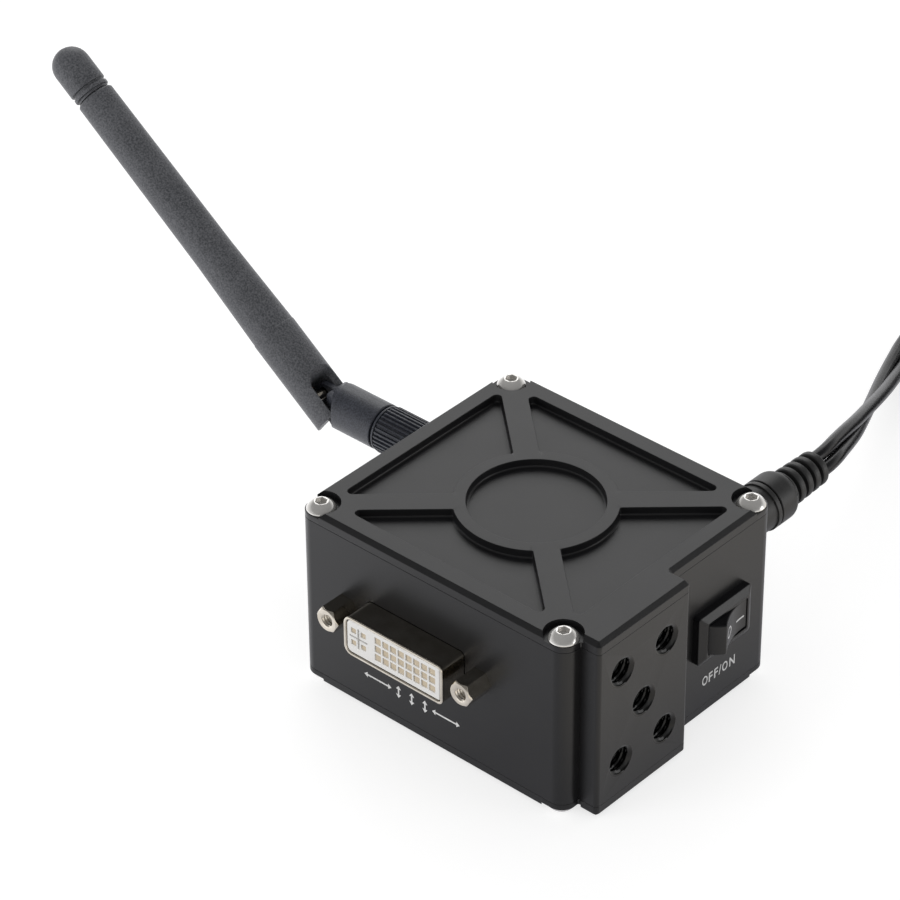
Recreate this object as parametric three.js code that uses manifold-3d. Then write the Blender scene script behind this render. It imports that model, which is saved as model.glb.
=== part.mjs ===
// Wireless control box for a camera pan and tilt head.
// Millimetres, +Z up. The origin is the centre of the bottom cover's underside.
// +X is the side with the mounting block and the switch, -Y the side with the output socket,
// -X the side with the antenna and +Y the side with the power socket.

import * as THREE from 'three';
import { mergeVertices } from 'three/addons/utils/BufferGeometryUtils.js';
import Module from 'manifold-3d';

// Clearances and smoothness
const fit = 0.3;
const overrun = 1;
const roundSides = 18;
const smallSides = 12;
const filletSteps = 3;

// Case
const caseWidth = 65;
const caseDepth = 59.5;
const caseHeight = 40;
const caseWall = 2.5;
const caseCorner = 3;
const cornerPost = 6.2;
const coverThickness = 2.5;
const coverChamfer = 0.75;
const lipHeight = 1.5;
const lipWidth = 1.2;

// Ribs and pockets of the top cover
const pocketMarginX = 4;
const pocketMarginY = 4.35;
const pocketDepth = 1.7;
const pocketCorner = 1;
const spokeWidth = 5;
const ringOuterRadius = 15.6;
const ringInnerRadius = 13.07;
const ringSides = 48;

// Cover screws, button heads with a hexagon socket
const screwInset = 3.05;
const screwHeadRadius = 2.85;
const screwHeadHeight = 1.65;
const screwHeadEdge = 0.4;
const screwHeadTop = 1.7;
const screwShankRadius = 1.2;
const screwLength = 9;
const screwHoleRadius = 1.5;
const screwHoleDepth = 10;
const seatRadius = 3.75;
const seatDepth = 1.3;
const socketRadius = 1.15;
const socketDepth = 1;

// Mounting block with five tapped holes
const blockReach = 4.3;
const blockMargin = 4.15;
const blockShare = 0.4311;
const blockCorner = 0.9;
const tappedRadius = 3.2;
const tappedEdgeY = 6.625;
const tappedEdgeZ = 9.75;
const tappedMargin = 0.6;
const tappedSides = 16;
const blockScrewDepth = 4.2;
const clampThickness = 2.3;
const clampOverlap = 1.2;

// Output socket on the front wall
const outputShare = 0.1866;
const outputAboveBoard = 6.6;
const shellWidth = 24.2;
const shellHeight = 8.6;
const shellReach = 6.2;
const shellSheet = 0.5;
const shellWideCorner = 1.8;
const shellTightCorner = 1;
const flangeWidth = 39.5;
const flangeHeight = 11.2;
const flangeSheet = 0.8;
const insulatorInset = 0.15;
const insulatorDepth = 8.5;
const insulatorSide = 1.4;
const insulatorTop = 5;
const wellPitch = 1.905;
const wellSize = 1.1;
const wellColumns = 8;
const wellRows = 3;
const firstWellX = -3.735;
const wellMiddleZ = 0.2;
const bladeX = -8.3;
const bladeSlot = 0.5;
const bladeSlotWidth = 4.6;
const bladeSlotHeight = 5;
const bladeWellX = 1.19;
const bladeWellZ = 1.36;
const contactSize = 0.5;
const contactInset = 1.2;
const combSheet = 0.8;
const combHeight = 2.6;
const jackscrewOffset = -0.53;
const jackscrewSpacing = 33;
const jackscrewFlats = 4.76;
const jackscrewLength = 5.6;
const jackscrewChamfer = 0.6;
const jackscrewBoreRadius = 1.15;
const jackscrewBoreDepth = 4.5;
const jackscrewStudRadius = 1.4;
const jackscrewStudLength = 4.6;

// Rocker switch on the right wall
const switchMargin = 15.55;
const bezelLength = 15.4;
const bezelHeight = 11;
const bezelReach = 2.6;
const bezelEdge = 1.6;
const bezelSlope = 1.5;
const bezelCorner = 0.7;
const switchBodyLength = 14.4;
const switchBodyHeight = 8.4;
const switchBodyDepth = 8.2;
const switchFloor = 0.8;
const rockerWindow = 7;
const rockerPivotDepth = 0.7;
const rockerRadius = 6.35;
const rockerGap = 0.2;
const rockerSides = 48;
const rockerWidth = 6.4;
const rockerMiddle = 3.4;
const rockerDishRadius = 13.1;
const rockerSkirt = 1.2;
const rockerTiltDegrees = 16;
const trunnionRadius = 1;
const trunnionLength = 0.4;
const plungerLength = 4.5;
const plungerLengthwise = 1.6;
const plungerWidth = 3;
const armPivotDepth = 6;
const armLength = 9;
const armWidth = 2.6;
const armSheet = 0.5;
const armTiltShare = 0.5;
const terminalSheet = 0.6;
const terminalWidth = 3.2;
const terminalOffset = 4.2;
const terminalDrop = 0.65;
const terminalEnd = 13.5;

// Power socket and the plug in it, on the back wall
const powerMargin = 13.4;
const powerAboveBoard = 8.7;
const socketBody = 9.2;
const socketBodyDepth = 11.25;
const socketTubeRadius = 3.9;
const socketTubeReach = 2.2;
const socketBoreRadius = 3.05;
const socketBoreDepth = 9.85;
const socketPinRadius = 0.95;
const socketPinInset = 1;
const socketPinTail = 1.5;
const socketNutRadius = 5.5;
const socketNutHeight = 1.8;
const plugSleeveRadius = 2.75;
const plugSleeveBore = 1.3;
const plugSleeveLength = 9.4;
const plugSleeveHold = 3.5;
const plugBodyRadius = 4.75;
const plugRingRadius = 5.1;
const plugRingWidth = 1.1;
const plugGrooveReach = 14.15;
const plugGrooveWidth = 0.35;
const plugGrooveRadius = 4.5;
const plugBarrelLength = 5.9;
const plugBarrelRound = 1.4;
const reliefEnd = 30.55;
const reliefFrontRadius = 3.95;
const reliefRearRadius = 3.55;
const reliefSlots = 5;
const reliefSlotShare = 0.35;
const reliefSlotDepth = 0.8;

// Power lead
const leadRadius = 2.7;
const leadSides = 8;
const coilSides = 6;
const coilStepsPerTurn = 24;
const coilTurns = 4;
const coilEntryDegrees = 140;
const coilOuterRadius = 35;
const coilPitch = 5.9;
const coilClimbTurns = 0.5;
const coilAside = 6.48;
const coilBehind = 91.37;
const tieSheet = 0.5;
const tieWidth = 7;
const tieDegrees = 250;
const tailDrop = [[4, 0], [8, 0], [13, 0.7], [18, 2.1], [23, 3.6], [28, 4.4]];
const supplyBodyRadius = 5;
const supplyBodyLength = 22;
const supplyBodyRound = 1.2;
const supplyReliefRadius = 3.4;
const supplyReliefLength = 10;
const supplyBarrelRadius = 2.75;
const supplyBarrelBore = 1.25;
const supplyBarrelLength = 9.5;
const supplyBarrelHold = 3;

// Antenna socket and the antenna on the left wall
const antennaY = 9.2;
const antennaDrop = 10;
const jackRadius = 3.1;
const jackReach = 8.9;
const jackFlangeRadius = 4;
const jackFlangeSheet = 3;
const jackTailRadius = 0.8;
const jackTailLength = 1.5;
const jackBoreRadius = 2.3;
const jackBoreDepth = 6.9;
const washerRadius = 5.6;
const washerSheet = 0.6;
const jackNutFlats = 8;
const jackNutHeight = 2;
const couplingStart = 3.6;
const couplingLength = 10.3;
const couplingRadius = 4.85;
const couplingRidges = 28;
const couplingGroove = 0.28;
const couplingBand = 0.8;
const couplingShoulder = 3.4;
const coreSleeveRadius = 2;
const coreSleeveLength = 3.4;
const coreFlangeSheet = 1;
const coreNeckRadius = 2.1;
const coreNeckLength = 6.5;
const elbowRadius = 4.7;
const pivotReach = 31.02;
const cheekRadius = 6.6;
const tongueWidth = 4.2;
const tongueRadius = 4.1;
const coaxLapStart = 0.3;
const coaxLapReach = 3.5;
const hingePinRadius = 1;
const hingePinLength = 8;
const mastBendDegrees = 36.44;
const mastStart = 5.2;
const slotEnd = 4.5;
const mastBaseRadius = 4.75;
const mastBaseLength = 15.5;
const mastWaistRadius = 4.18;
const mastWaistLength = 35;
const mastTopRadius = 3.95;
const mastBoreRadius = 1.3;
const mastBoreStart = 12;
const capNeckRadius = 3.4;
const capLength = 9.4;
const capRingGap = 0.6;
const capRingWidth = 0.8;
const capRingLift = 0.8;
const capRingRadius = 3.85;
const capRadius = 3.95;
const tipReach = 86.2;
const capSteps = 4;
const coaxRadius = 0.55;
const coaxOffset = 1.3;
const coaxStart = 2;
const coaxEnd = 11;
const radiatorRadius = 1;

// Circuit board and what stands on it
const boardGap = 0.5;
const boardSheet = 1.6;
const boardMargin = 0.8;
const boardClear = 0.4;
const boardScrewShare = 0.67;
const boardScrewEdgeY = 7.25;
const boardPostRadius = 2.5;
const boardScrewHead = 2.25;
const boardScrewHeadHeight = 1.5;
const boardScrewShank = 0.9;
const boardScrewHole = 1.2;
const boardScrewLength = 6;
const moduleEdge = 13;
const moduleGap = 1.6;
const moduleWidth = 16;
const moduleShare = 0.4034;
const moduleSheet = 1;
const shieldWidth = 13;
const shieldShare = 0.625;
const shieldHeight = 2;
const chipGap = 3;
const chipY = 3;
const chipWidth = 10;
const chipHeight = 1.2;
const capacitorEdge = 9.15;
const capacitorY = -7;
const capacitorPitch = 7.5;
const capacitorRadius = 3.15;
const capacitorHeight = 8;
const wireRadius = 0.7;
const wireSides = 6;
const wireSteps = 12;

// Worked out from the sizes above
const halfWidth = caseWidth / 2;
const halfDepth = caseDepth / 2;
const frameLow = coverThickness;
const frameHigh = caseHeight - coverThickness;
const innerX = halfWidth - caseWall;
const innerY = halfDepth - caseWall;
const postX = halfWidth - cornerPost;
const postY = halfDepth - cornerPost;
const screwX = halfWidth - screwInset;
const screwY = halfDepth - screwInset;
const screwRise = screwHeadHeight - seatDepth;
const groundZ = -screwRise;
const blockStart = blockMargin - halfDepth;
const blockLength = caseDepth * blockShare;
const blockEnd = blockStart + blockLength;
const blockMiddleY = blockStart + blockLength / 2;
const blockMiddleZ = caseHeight / 2;
const tappedSpacingY = blockLength / 2 - tappedEdgeY;
const tappedSpacingZ = caseHeight / 2 - tappedEdgeZ;
const tenonY = tappedSpacingY + tappedRadius + tappedMargin;
const tenonZ = tappedSpacingZ + tappedRadius + tappedMargin;
const boardTop = blockMiddleZ - switchBodyHeight / 2 - boardGap;
const boardScrewX = innerX * boardScrewShare;
const boardScrewY = innerY - boardScrewEdgeY;
const boardEdge = innerX - clampThickness - screwHeadHeight - boardClear;
const outputX = flangeWidth / 2 - postX - jackscrewOffset + outputShare * (2 * postX - flangeWidth);
const outputZ = boardTop + outputAboveBoard;
const switchY = halfDepth - switchMargin;
const powerX = halfWidth - powerMargin;
const powerZ = boardTop + powerAboveBoard;
const antennaZ = caseHeight - antennaDrop;
const capStart = tipReach - capLength;
const capRingStart = capStart - capRingGap - capRingWidth;
const mastLength = capRingStart - capRingLift;

const wasm = await Module();
wasm.setup();

// Turns a closed three.js geometry into a solid whose faces point outwards
function solid(geometry) {
  const bare = geometry.clone();
  for (const name of Object.keys(bare.attributes)) {
    if (name !== 'position') bare.deleteAttribute(name);
  }
  const merged = mergeVertices(bare);
  const position = merged.attributes.position;
  const index = merged.index.array;
  const corner = [new THREE.Vector3(), new THREE.Vector3(), new THREE.Vector3()];
  const faces = [];
  let volume = 0;
  for (let i = 0; i < index.length; i += 3) {
    const [a, b, c] = [index[i], index[i + 1], index[i + 2]];
    if (a === b || b === c || c === a) continue;
    [a, b, c].forEach((vertex, k) => corner[k].fromBufferAttribute(position, vertex));
    volume += corner[0].dot(corner[1].clone().cross(corner[2]));
    faces.push([a, b, c]);
  }
  const triVerts = new Uint32Array(faces.flatMap(([a, b, c]) => (volume < 0 ? [a, c, b] : [a, b, c])));
  const vertProperties = new Float32Array(position.array);
  return new wasm.Manifold(new wasm.Mesh({ numProp: 3, vertProperties, triVerts }));
}

function geometryOf(body) {
  const mesh = body.getMesh();
  const geometry = new THREE.BufferGeometry();
  geometry.setAttribute('position', new THREE.BufferAttribute(new Float32Array(mesh.vertProperties), 3));
  geometry.setIndex(new THREE.BufferAttribute(new Uint32Array(mesh.triVerts), 1));
  geometry.computeVertexNormals();
  return geometry;
}

const join = (first, ...others) => others.reduce((sum, other) => sum.add(other), first);
const cut = (body, ...tools) => tools.reduce((rest, tool) => rest.subtract(tool), body);

function box(x0, x1, y0, y1, z0, z1) {
  const geometry = new THREE.BoxGeometry(x1 - x0, y1 - y0, z1 - z0);
  return solid(geometry.translate((x0 + x1) / 2, (y0 + y1) / 2, (z0 + z1) / 2));
}

// A round bar along Z from z0 to z1
function rod(radius, z0, z1, x = 0, y = 0, sides = roundSides) {
  const geometry = new THREE.CylinderGeometry(radius, radius, z1 - z0, sides);
  return solid(geometry.rotateX(Math.PI / 2).translate(x, y, (z0 + z1) / 2));
}

// A round bar along X or Y, centred on the given point
function crossRod(axis, radius, length, x, y, z, sides = roundSides) {
  const geometry = new THREE.CylinderGeometry(radius, radius, length, sides);
  if (axis === 'x') geometry.rotateZ(Math.PI / 2);
  return solid(geometry.translate(x, y, z));
}

// A turned solid about Z from [radius, height] pairs
function turned(profile, sides = roundSides) {
  const points = profile.map(([radius, height]) => new THREE.Vector2(radius, height));
  return solid(new THREE.LatheGeometry(points, sides).rotateX(Math.PI / 2));
}

function tubeProfile(innerRadius, outerRadius, z0, z1) {
  return [[innerRadius, z0], [outerRadius, z0], [outerRadius, z1], [innerRadius, z1], [innerRadius, z0]];
}

// Rounds each corner of an outline that runs anticlockwise; a corner is [x, y, radius]
function outline(corners, inset = 0) {
  const points = [];
  const count = corners.length;
  corners.forEach(([x, y, radius], i) => {
    const here = new THREE.Vector2(x, y);
    const before = new THREE.Vector2(...corners[(i + count - 1) % count]);
    const after = new THREE.Vector2(...corners[(i + 1) % count]);
    const arriving = here.clone().sub(before).normalize();
    const leaving = after.clone().sub(here).normalize();
    const normal = new THREE.Vector2(-arriving.y, arriving.x);
    const nextNormal = new THREE.Vector2(-leaving.y, leaving.x);
    const shift = normal.clone().add(nextNormal).multiplyScalar(inset / (1 + normal.dot(nextNormal)));
    const moved = here.clone().add(shift);
    const turn = Math.atan2(arriving.cross(leaving), arriving.dot(leaving));
    const side = Math.sign(turn);
    const rounding = radius - side * inset;
    if (radius === 0 || rounding <= 0) {
      points.push(moved);
      return;
    }
    const tangent = rounding * Math.tan(Math.abs(turn) / 2);
    const start = moved.clone().addScaledVector(arriving, -tangent);
    const centre = start.clone().addScaledVector(normal, side * rounding);
    const spoke = start.clone().sub(centre);
    for (let k = 0; k <= filletSteps; k += 1) {
      const arm = spoke.clone().rotateAround(new THREE.Vector2(), turn * k / filletSteps);
      points.push(arm.add(centre));
    }
  });
  return points;
}

function rectangle(width, height, radius = 0, x = 0, y = 0) {
  const [a, b] = [width / 2, height / 2];
  return [[x - a, y - b, radius], [x + a, y - b, radius], [x + a, y + b, radius], [x - a, y + b, radius]];
}

function prism(points, z0, z1) {
  const settings = { depth: z1 - z0, bevelEnabled: false };
  return solid(new THREE.ExtrudeGeometry(new THREE.Shape(points), settings).translate(0, 0, z0));
}

// A prism whose edge at z1 is sloped: it draws in by size over the last height
function slopedPrism(points, z0, z1, height, size) {
  const settings = {
    depth: z1 - z0, bevelThickness: height, bevelSize: size, bevelOffset: -size, bevelSegments: 1,
  };
  const geometry = new THREE.ExtrudeGeometry(new THREE.Shape(points), settings);
  const whole = solid(geometry.translate(0, 0, z0 - height));
  const reach = caseWidth + caseDepth;
  return cut(whole, box(-reach, reach, -reach, reach, z0 - height - overrun, z0));
}

function tubeAlong(points, radius, sides, steps) {
  const curve = new THREE.CatmullRomCurve3(points, false, 'centripetal');
  const circle = new THREE.EllipseCurve(0, 0, radius, radius, 0, 2 * Math.PI).getPoints(sides);
  const section = new THREE.Shape(circle.slice(0, sides));
  return solid(new THREE.ExtrudeGeometry(section, { steps, bevelEnabled: false, extrudePath: curve }));
}

// Materials
function finish(color, roughness, metalness = 0) {
  return new THREE.MeshStandardMaterial({ color, roughness, metalness });
}

const anodised = finish(0x2b2c2e, 0.5, 0.6);
const stainless = finish(0xc9c6bf, 0.25, 1);
const nickel = finish(0xa89c86, 0.3, 1);
const brass = finish(0xb8944f, 0.3, 1);
const whitePlastic = finish(0xe9e6dc, 0.45);
const blackPlastic = finish(0x1b1c1d, 0.35);
const antennaPlastic = finish(0x33353a, 0.6);
const blackJacket = finish(0x111112, 0.25);
const boardGreen = finish(0x1e5a37, 0.5);
const redJacket = finish(0xa62822, 0.4);

const controlBox = new THREE.Group();

function piece(name, body, material, group = controlBox) {
  const mesh = new THREE.Mesh(geometryOf(body), material);
  mesh.name = name;
  group.add(mesh);
  return mesh;
}

// A group whose +Z points along a horizontal direction and whose +Y stays up
function facing(x, y, originX, originY, originZ) {
  const forward = new THREE.Vector3(x, y, 0);
  const up = new THREE.Vector3(0, 0, 1);
  const group = new THREE.Group();
  group.matrixAutoUpdate = false;
  group.matrix.makeBasis(up.clone().cross(forward), up, forward).setPosition(originX, originY, originZ);
  controlBox.add(group);
  return group;
}

const frontSide = facing(0, -1, outputX, -halfDepth, outputZ);
const switchSide = facing(1, 0, halfWidth, switchY, blockMiddleZ);
const blockSide = facing(1, 0, innerX, blockMiddleY, blockMiddleZ);
const powerSide = facing(0, 1, powerX, halfDepth, powerZ);
const antennaSide = facing(-1, 0, -halfWidth, antennaY, antennaZ);

// A solid made in a side's own frame, moved to where that side is
function placed(body, group) {
  return solid(geometryOf(body).applyMatrix4(group.matrix));
}

const corners = [[-1, -1], [1, -1], [1, 1], [-1, 1]];
const caseScrewPlaces = corners.map(([sx, sy]) => [sx * screwX, sy * screwY]);

function caseOutline() {
  return [
    [-halfWidth, -halfDepth, caseCorner], [halfWidth, -halfDepth, caseCorner],
    [halfWidth, halfDepth, caseCorner], [-halfWidth, halfDepth, caseCorner],
  ];
}

function coverOutline() {
  const [first, second, third, fourth] = caseOutline();
  const lug = halfWidth + blockReach;
  return [
    first, second, [halfWidth, blockStart, 0], [lug, blockStart, blockCorner],
    [lug, blockEnd, blockCorner], [halfWidth, blockEnd, 0], third, fourth,
  ];
}

// The inside of the case: a rectangle with a post left standing in each corner
function cavityOutline() {
  return [
    [innerX, -postY, 0], [innerX, postY, 0], [postX, postY, 0], [postX, innerY, 0],
    [-postX, innerY, 0], [-postX, postY, 0], [-innerX, postY, 0], [-innerX, -postY, 0],
    [-postX, -postY, 0], [-postX, -innerY, 0], [postX, -innerY, 0], [postX, -postY, 0],
  ];
}

function shellOutline(inset) {
  const [a, b] = [shellWidth / 2, shellHeight / 2];
  const shape = [
    [-a, -b, shellWideCorner], [a, -b, shellTightCorner],
    [a, b, shellTightCorner], [-a, b, shellWideCorner],
  ];
  return outline(shape, inset);
}

const jackscrewPlaces = [-1, 1].map((side) => jackscrewOffset + side * jackscrewSpacing / 2);

// What is cut through each wall, as [side, tool] pairs in that side's own frame
function wallOpenings() {
  const [inside, outside] = [-caseWall - overrun, overrun];
  const [windowY, windowZ] = [tenonY + fit, tenonZ + fit];
  const [rockerA, rockerB] = [switchBodyLength / 2 + fit, switchBodyHeight / 2 + fit];
  const openings = [
    [frontSide, prism(shellOutline(-fit), inside, outside)],
    [blockSide, box(-windowY, windowY, -windowZ, windowZ, -overrun, caseWall + overrun)],
    [switchSide, box(-rockerA, rockerA, -rockerB, rockerB, inside, outside)],
    [powerSide, rod(socketTubeRadius + fit, inside, outside)],
    [antennaSide, rod(jackRadius + fit, inside, outside)],
  ];
  for (const place of jackscrewPlaces) {
    openings.push([frontSide, rod(jackscrewStudRadius + fit, inside, outside, place, 0, smallSides)]);
  }
  return openings;
}

function caseFrame() {
  let body = cut(
    prism(outline(caseOutline()), frameLow, frameHigh),
    prism(outline(cavityOutline()), frameLow - overrun, frameHigh + overrun),
  );
  for (const [x, y] of caseScrewPlaces) {
    body = cut(
      body,
      rod(screwHoleRadius, frameHigh - screwHoleDepth, frameHigh + overrun, x, y, smallSides),
      rod(screwHoleRadius, frameLow - overrun, frameLow + screwHoleDepth, x, y, smallSides),
    );
  }
  for (const [side, tool] of wallOpenings()) {
    body = cut(body, placed(tool, side));
  }
  return body;
}

// One pocket between two spokes, seen from the middle towards the edge at the given distance
function pocketOutline(edge, spokeAngle) {
  const half = spokeWidth / 2;
  const tip = (edge * Math.sin(spokeAngle) - half) / Math.cos(spokeAngle);
  const inner = spokeAngle - Math.asin(half / ringOuterRadius);
  const arcSteps = 8;
  const points = [[edge, -tip, pocketCorner], [edge, tip, pocketCorner]];
  for (let k = 0; k <= arcSteps; k += 1) {
    const angle = inner * (1 - 2 * k / arcSteps);
    points.push([ringOuterRadius * Math.cos(angle), ringOuterRadius * Math.sin(angle), 0]);
  }
  return outline(points);
}

function lip(z0, z1) {
  return cut(
    prism(outline(cavityOutline(), fit), z0, z1),
    prism(outline(cavityOutline(), fit + lipWidth), z0 - overrun, z1 + overrun),
  );
}

function topCover() {
  const top = caseHeight;
  let body = slopedPrism(outline(coverOutline()), frameHigh, top, coverChamfer, coverChamfer);
  body = body.add(lip(frameHigh - lipHeight, frameHigh));
  const floor = top - pocketDepth;
  const reachX = halfWidth - pocketMarginX;
  const reachY = halfDepth - pocketMarginY;
  const spoke = Math.atan2(screwY, screwX);
  for (let quarter = 0; quarter < 4; quarter += 1) {
    const turn = quarter * Math.PI / 2;
    const [reach, angle] = quarter % 2 === 0 ? [reachX, spoke] : [reachY, Math.PI / 2 - spoke];
    const points = pocketOutline(reach, angle).map((p) => p.rotateAround(new THREE.Vector2(), turn));
    body = cut(body, prism(points, floor, top + overrun));
  }
  body = cut(body, rod(ringInnerRadius, floor, top + overrun, 0, 0, ringSides));
  for (const [x, y] of caseScrewPlaces) {
    body = cut(
      body,
      rod(seatRadius, top - seatDepth, top + overrun, x, y),
      rod(screwHoleRadius, frameHigh - lipHeight - overrun, top + overrun, x, y, smallSides),
    );
  }
  return body;
}

const boardScrewPlaces = corners.map(([sx, sy]) => [sx * boardScrewX, sy * boardScrewY]);

// The plain cover under the case: the top cover's outline turned over, with four posts for the board
function bottomCover() {
  const mirrored = outline(coverOutline()).map((p) => new THREE.Vector2(p.x, -p.y)).reverse();
  const upright = slopedPrism(mirrored, -frameLow, 0, coverChamfer, coverChamfer);
  const geometry = geometryOf(upright).rotateX(Math.PI);
  let body = solid(geometry).add(lip(frameLow, frameLow + lipHeight));
  for (const [x, y] of caseScrewPlaces) {
    body = cut(
      body,
      rod(seatRadius, -overrun, seatDepth, x, y),
      rod(screwHoleRadius, -overrun, frameLow + lipHeight + overrun, x, y, smallSides),
    );
  }
  for (const [x, y] of boardScrewPlaces) {
    const post = rod(boardPostRadius, frameLow - coverThickness / 2, boardTop - boardSheet, x, y, smallSides);
    const hole = rod(boardScrewHole, boardTop - boardSheet - boardScrewLength, boardTop, x, y, smallSides);
    body = cut(body.add(post), hole);
  }
  return body;
}

// A button head screw along +Z with its head's underside at zero
function buttonScrew(length) {
  const body = turned([
    [0, -length], [screwShankRadius, -length], [screwShankRadius, 0], [screwHeadRadius, 0],
    [screwHeadRadius, screwHeadEdge],
    [(screwHeadRadius + screwHeadTop) / 2, screwHeadHeight - screwHeadEdge / 2],
    [screwHeadTop, screwHeadHeight], [0, screwHeadHeight],
  ], smallSides);
  return cut(body, rod(socketRadius, screwHeadHeight - socketDepth, screwHeadHeight + overrun, 0, 0, 6));
}

function fasteners() {
  caseScrewPlaces.forEach(([x, y], i) => {
    const top = piece(`top_cover_screw_${i + 1}`, buttonScrew(screwLength), stainless);
    top.position.set(x, y, caseHeight - seatDepth);
    const bottom = piece(`bottom_cover_screw_${i + 1}`, buttonScrew(screwLength), stainless);
    bottom.matrixAutoUpdate = false;
    bottom.matrix.makeScale(1, -1, -1).setPosition(x, y, seatDepth);
  });
}

// Mounting block, seen along +X from the wall's inner face
const tappedPlaces = [[0, 0], ...corners].map(([a, b]) => [a * tappedSpacingY, b * tappedSpacingZ]);
const blockScrewPlaces = [[0, tappedSpacingZ], [0, -tappedSpacingZ]];

function mountingBlock() {
  const length = blockLength;
  const height = frameHigh - frameLow;
  const face = caseWall + blockReach;
  const edges = [
    [caseWall, -length / 2, 0], [face, -length / 2, blockCorner],
    [face, length / 2, blockCorner], [caseWall, length / 2, 0],
  ];
  const flange = geometryOf(prism(outline(edges), 0, height));
  flange.rotateX(-Math.PI / 2).rotateY(-Math.PI / 2).translate(0, -height / 2, 0);
  const tenon = box(-tenonY, tenonY, -tenonZ, tenonZ, fit, caseWall + blockCorner);
  let body = solid(flange).add(tenon);
  for (const [x, y] of tappedPlaces) {
    body = cut(body, rod(tappedRadius, -overrun, face + overrun, x, y, tappedSides));
  }
  for (const [x, y] of blockScrewPlaces) {
    body = cut(body, rod(screwHoleRadius, -overrun, blockScrewDepth, x, y, smallSides));
  }
  return body;
}

function blockPieces() {
  piece('mounting_block', mountingBlock(), anodised, blockSide);
  const [a, b] = [tenonY + clampOverlap, tenonZ + clampOverlap];
  const postSide = blockMiddleY + postY - fit;
  let clamp = box(-Math.min(a, postSide), a, -b, b, -clampThickness, 0);
  for (const [x, y] of blockScrewPlaces) {
    clamp = cut(clamp, rod(screwHoleRadius, -clampThickness - overrun, overrun, x, y, smallSides));
  }
  piece('mounting_block_clamp', clamp, anodised, blockSide);
  const length = clampThickness + blockScrewDepth - fit;
  blockScrewPlaces.forEach(([x, y], i) => {
    const screw = piece(`mounting_block_screw_${i + 1}`, buttonScrew(length), stainless, blockSide);
    screw.matrixAutoUpdate = false;
    screw.matrix.makeScale(1, -1, -1).setPosition(x, y, -clampThickness);
  });
}

// Output socket, seen along its own axis with zero at the wall's outer face
const flangeBack = -caseWall - flangeSheet;
const insulatorBack = flangeBack - insulatorDepth;

function shellPiece() {
  const flange = rectangle(flangeWidth, flangeHeight, shellTightCorner, jackscrewOffset, 0);
  let body = join(
    prism(shellOutline(0), flangeBack, shellReach),
    prism(outline(flange), flangeBack, -caseWall),
  );
  body = cut(body, prism(shellOutline(shellSheet), flangeBack - overrun, shellReach + overrun));
  const [low, high] = [flangeBack - overrun, -caseWall + overrun];
  for (const place of jackscrewPlaces) {
    body = cut(body, rod(jackscrewStudRadius + fit, low, high, place, 0, smallSides));
  }
  return body;
}

function wellPlaces() {
  const places = [];
  for (let column = 0; column < wellColumns; column += 1) {
    for (let row = 0; row < wellRows; row += 1) {
      places.push([firstWellX + column * wellPitch, wellMiddleZ + (row - (wellRows - 1) / 2) * wellPitch]);
    }
  }
  for (const [sx, sy] of corners) {
    places.push([bladeX + sx * bladeWellX, wellMiddleZ + sy * bladeWellZ]);
  }
  return places;
}

function square(x, y, size, z0, z1) {
  return box(x - size / 2, x + size / 2, y - size / 2, y + size / 2, z0, z1);
}

function insulatorPiece() {
  const half = shellWidth / 2 + insulatorSide;
  let body = join(
    prism(shellOutline(shellSheet + fit), flangeBack - fit, shellReach - insulatorInset),
    box(-half, half, boardTop - outputZ, insulatorTop, insulatorBack, flangeBack),
  );
  for (const [x, y] of wellPlaces()) {
    body = cut(body, square(x, y, wellSize, insulatorBack - overrun, shellReach + overrun));
  }
  const [a, b, c] = [bladeSlotWidth / 2, bladeSlot / 2, bladeSlotHeight / 2];
  const depth = shellReach - contactInset - bladeSlotWidth;
  return cut(
    body,
    box(bladeX - a, bladeX + a, wellMiddleZ - b, wellMiddleZ + b, depth, shellReach + overrun),
    box(bladeX - b, bladeX + b, wellMiddleZ - c, wellMiddleZ + c, depth, shellReach + overrun),
  );
}

// All the contacts in one solid: blades in the wells, joined by a bar behind the insulator
function contactComb() {
  const front = insulatorBack - fit;
  const half = shellWidth / 2 - insulatorSide;
  let body = box(-half, half, boardTop - outputZ + fit, wellMiddleZ + combHeight, front - combSheet, front);
  for (const [x, y] of wellPlaces()) {
    body = body.add(square(x, y, contactSize, front - combSheet / 2, shellReach - contactInset));
  }
  return body;
}

function jackscrew() {
  const outer = jackscrewFlats / Math.sqrt(3);
  const hexagon = rod(outer, 0, jackscrewLength, 0, 0, 6);
  const rounded = turned([
    [0, 0], [outer, 0], [outer, jackscrewLength - jackscrewChamfer / 2],
    [outer - jackscrewChamfer, jackscrewLength], [0, jackscrewLength],
  ]);
  const stud = rod(jackscrewStudRadius, -jackscrewStudLength, overrun, 0, 0, smallSides);
  const [low, high] = [jackscrewLength - jackscrewBoreDepth, jackscrewLength + overrun];
  return cut(hexagon.intersect(rounded).add(stud), rod(jackscrewBoreRadius, low, high, 0, 0, smallSides));
}

function outputSocket() {
  piece('output_shell', shellPiece(), nickel, frontSide);
  piece('output_insulator', insulatorPiece(), whitePlastic, frontSide);
  piece('output_contacts', contactComb(), brass, frontSide);
  jackscrewPlaces.forEach((place, i) => {
    const name = ['output_jackscrew_left', 'output_jackscrew_right'][i];
    piece(name, jackscrew(), nickel, frontSide).position.x = place;
  });
}

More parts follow.
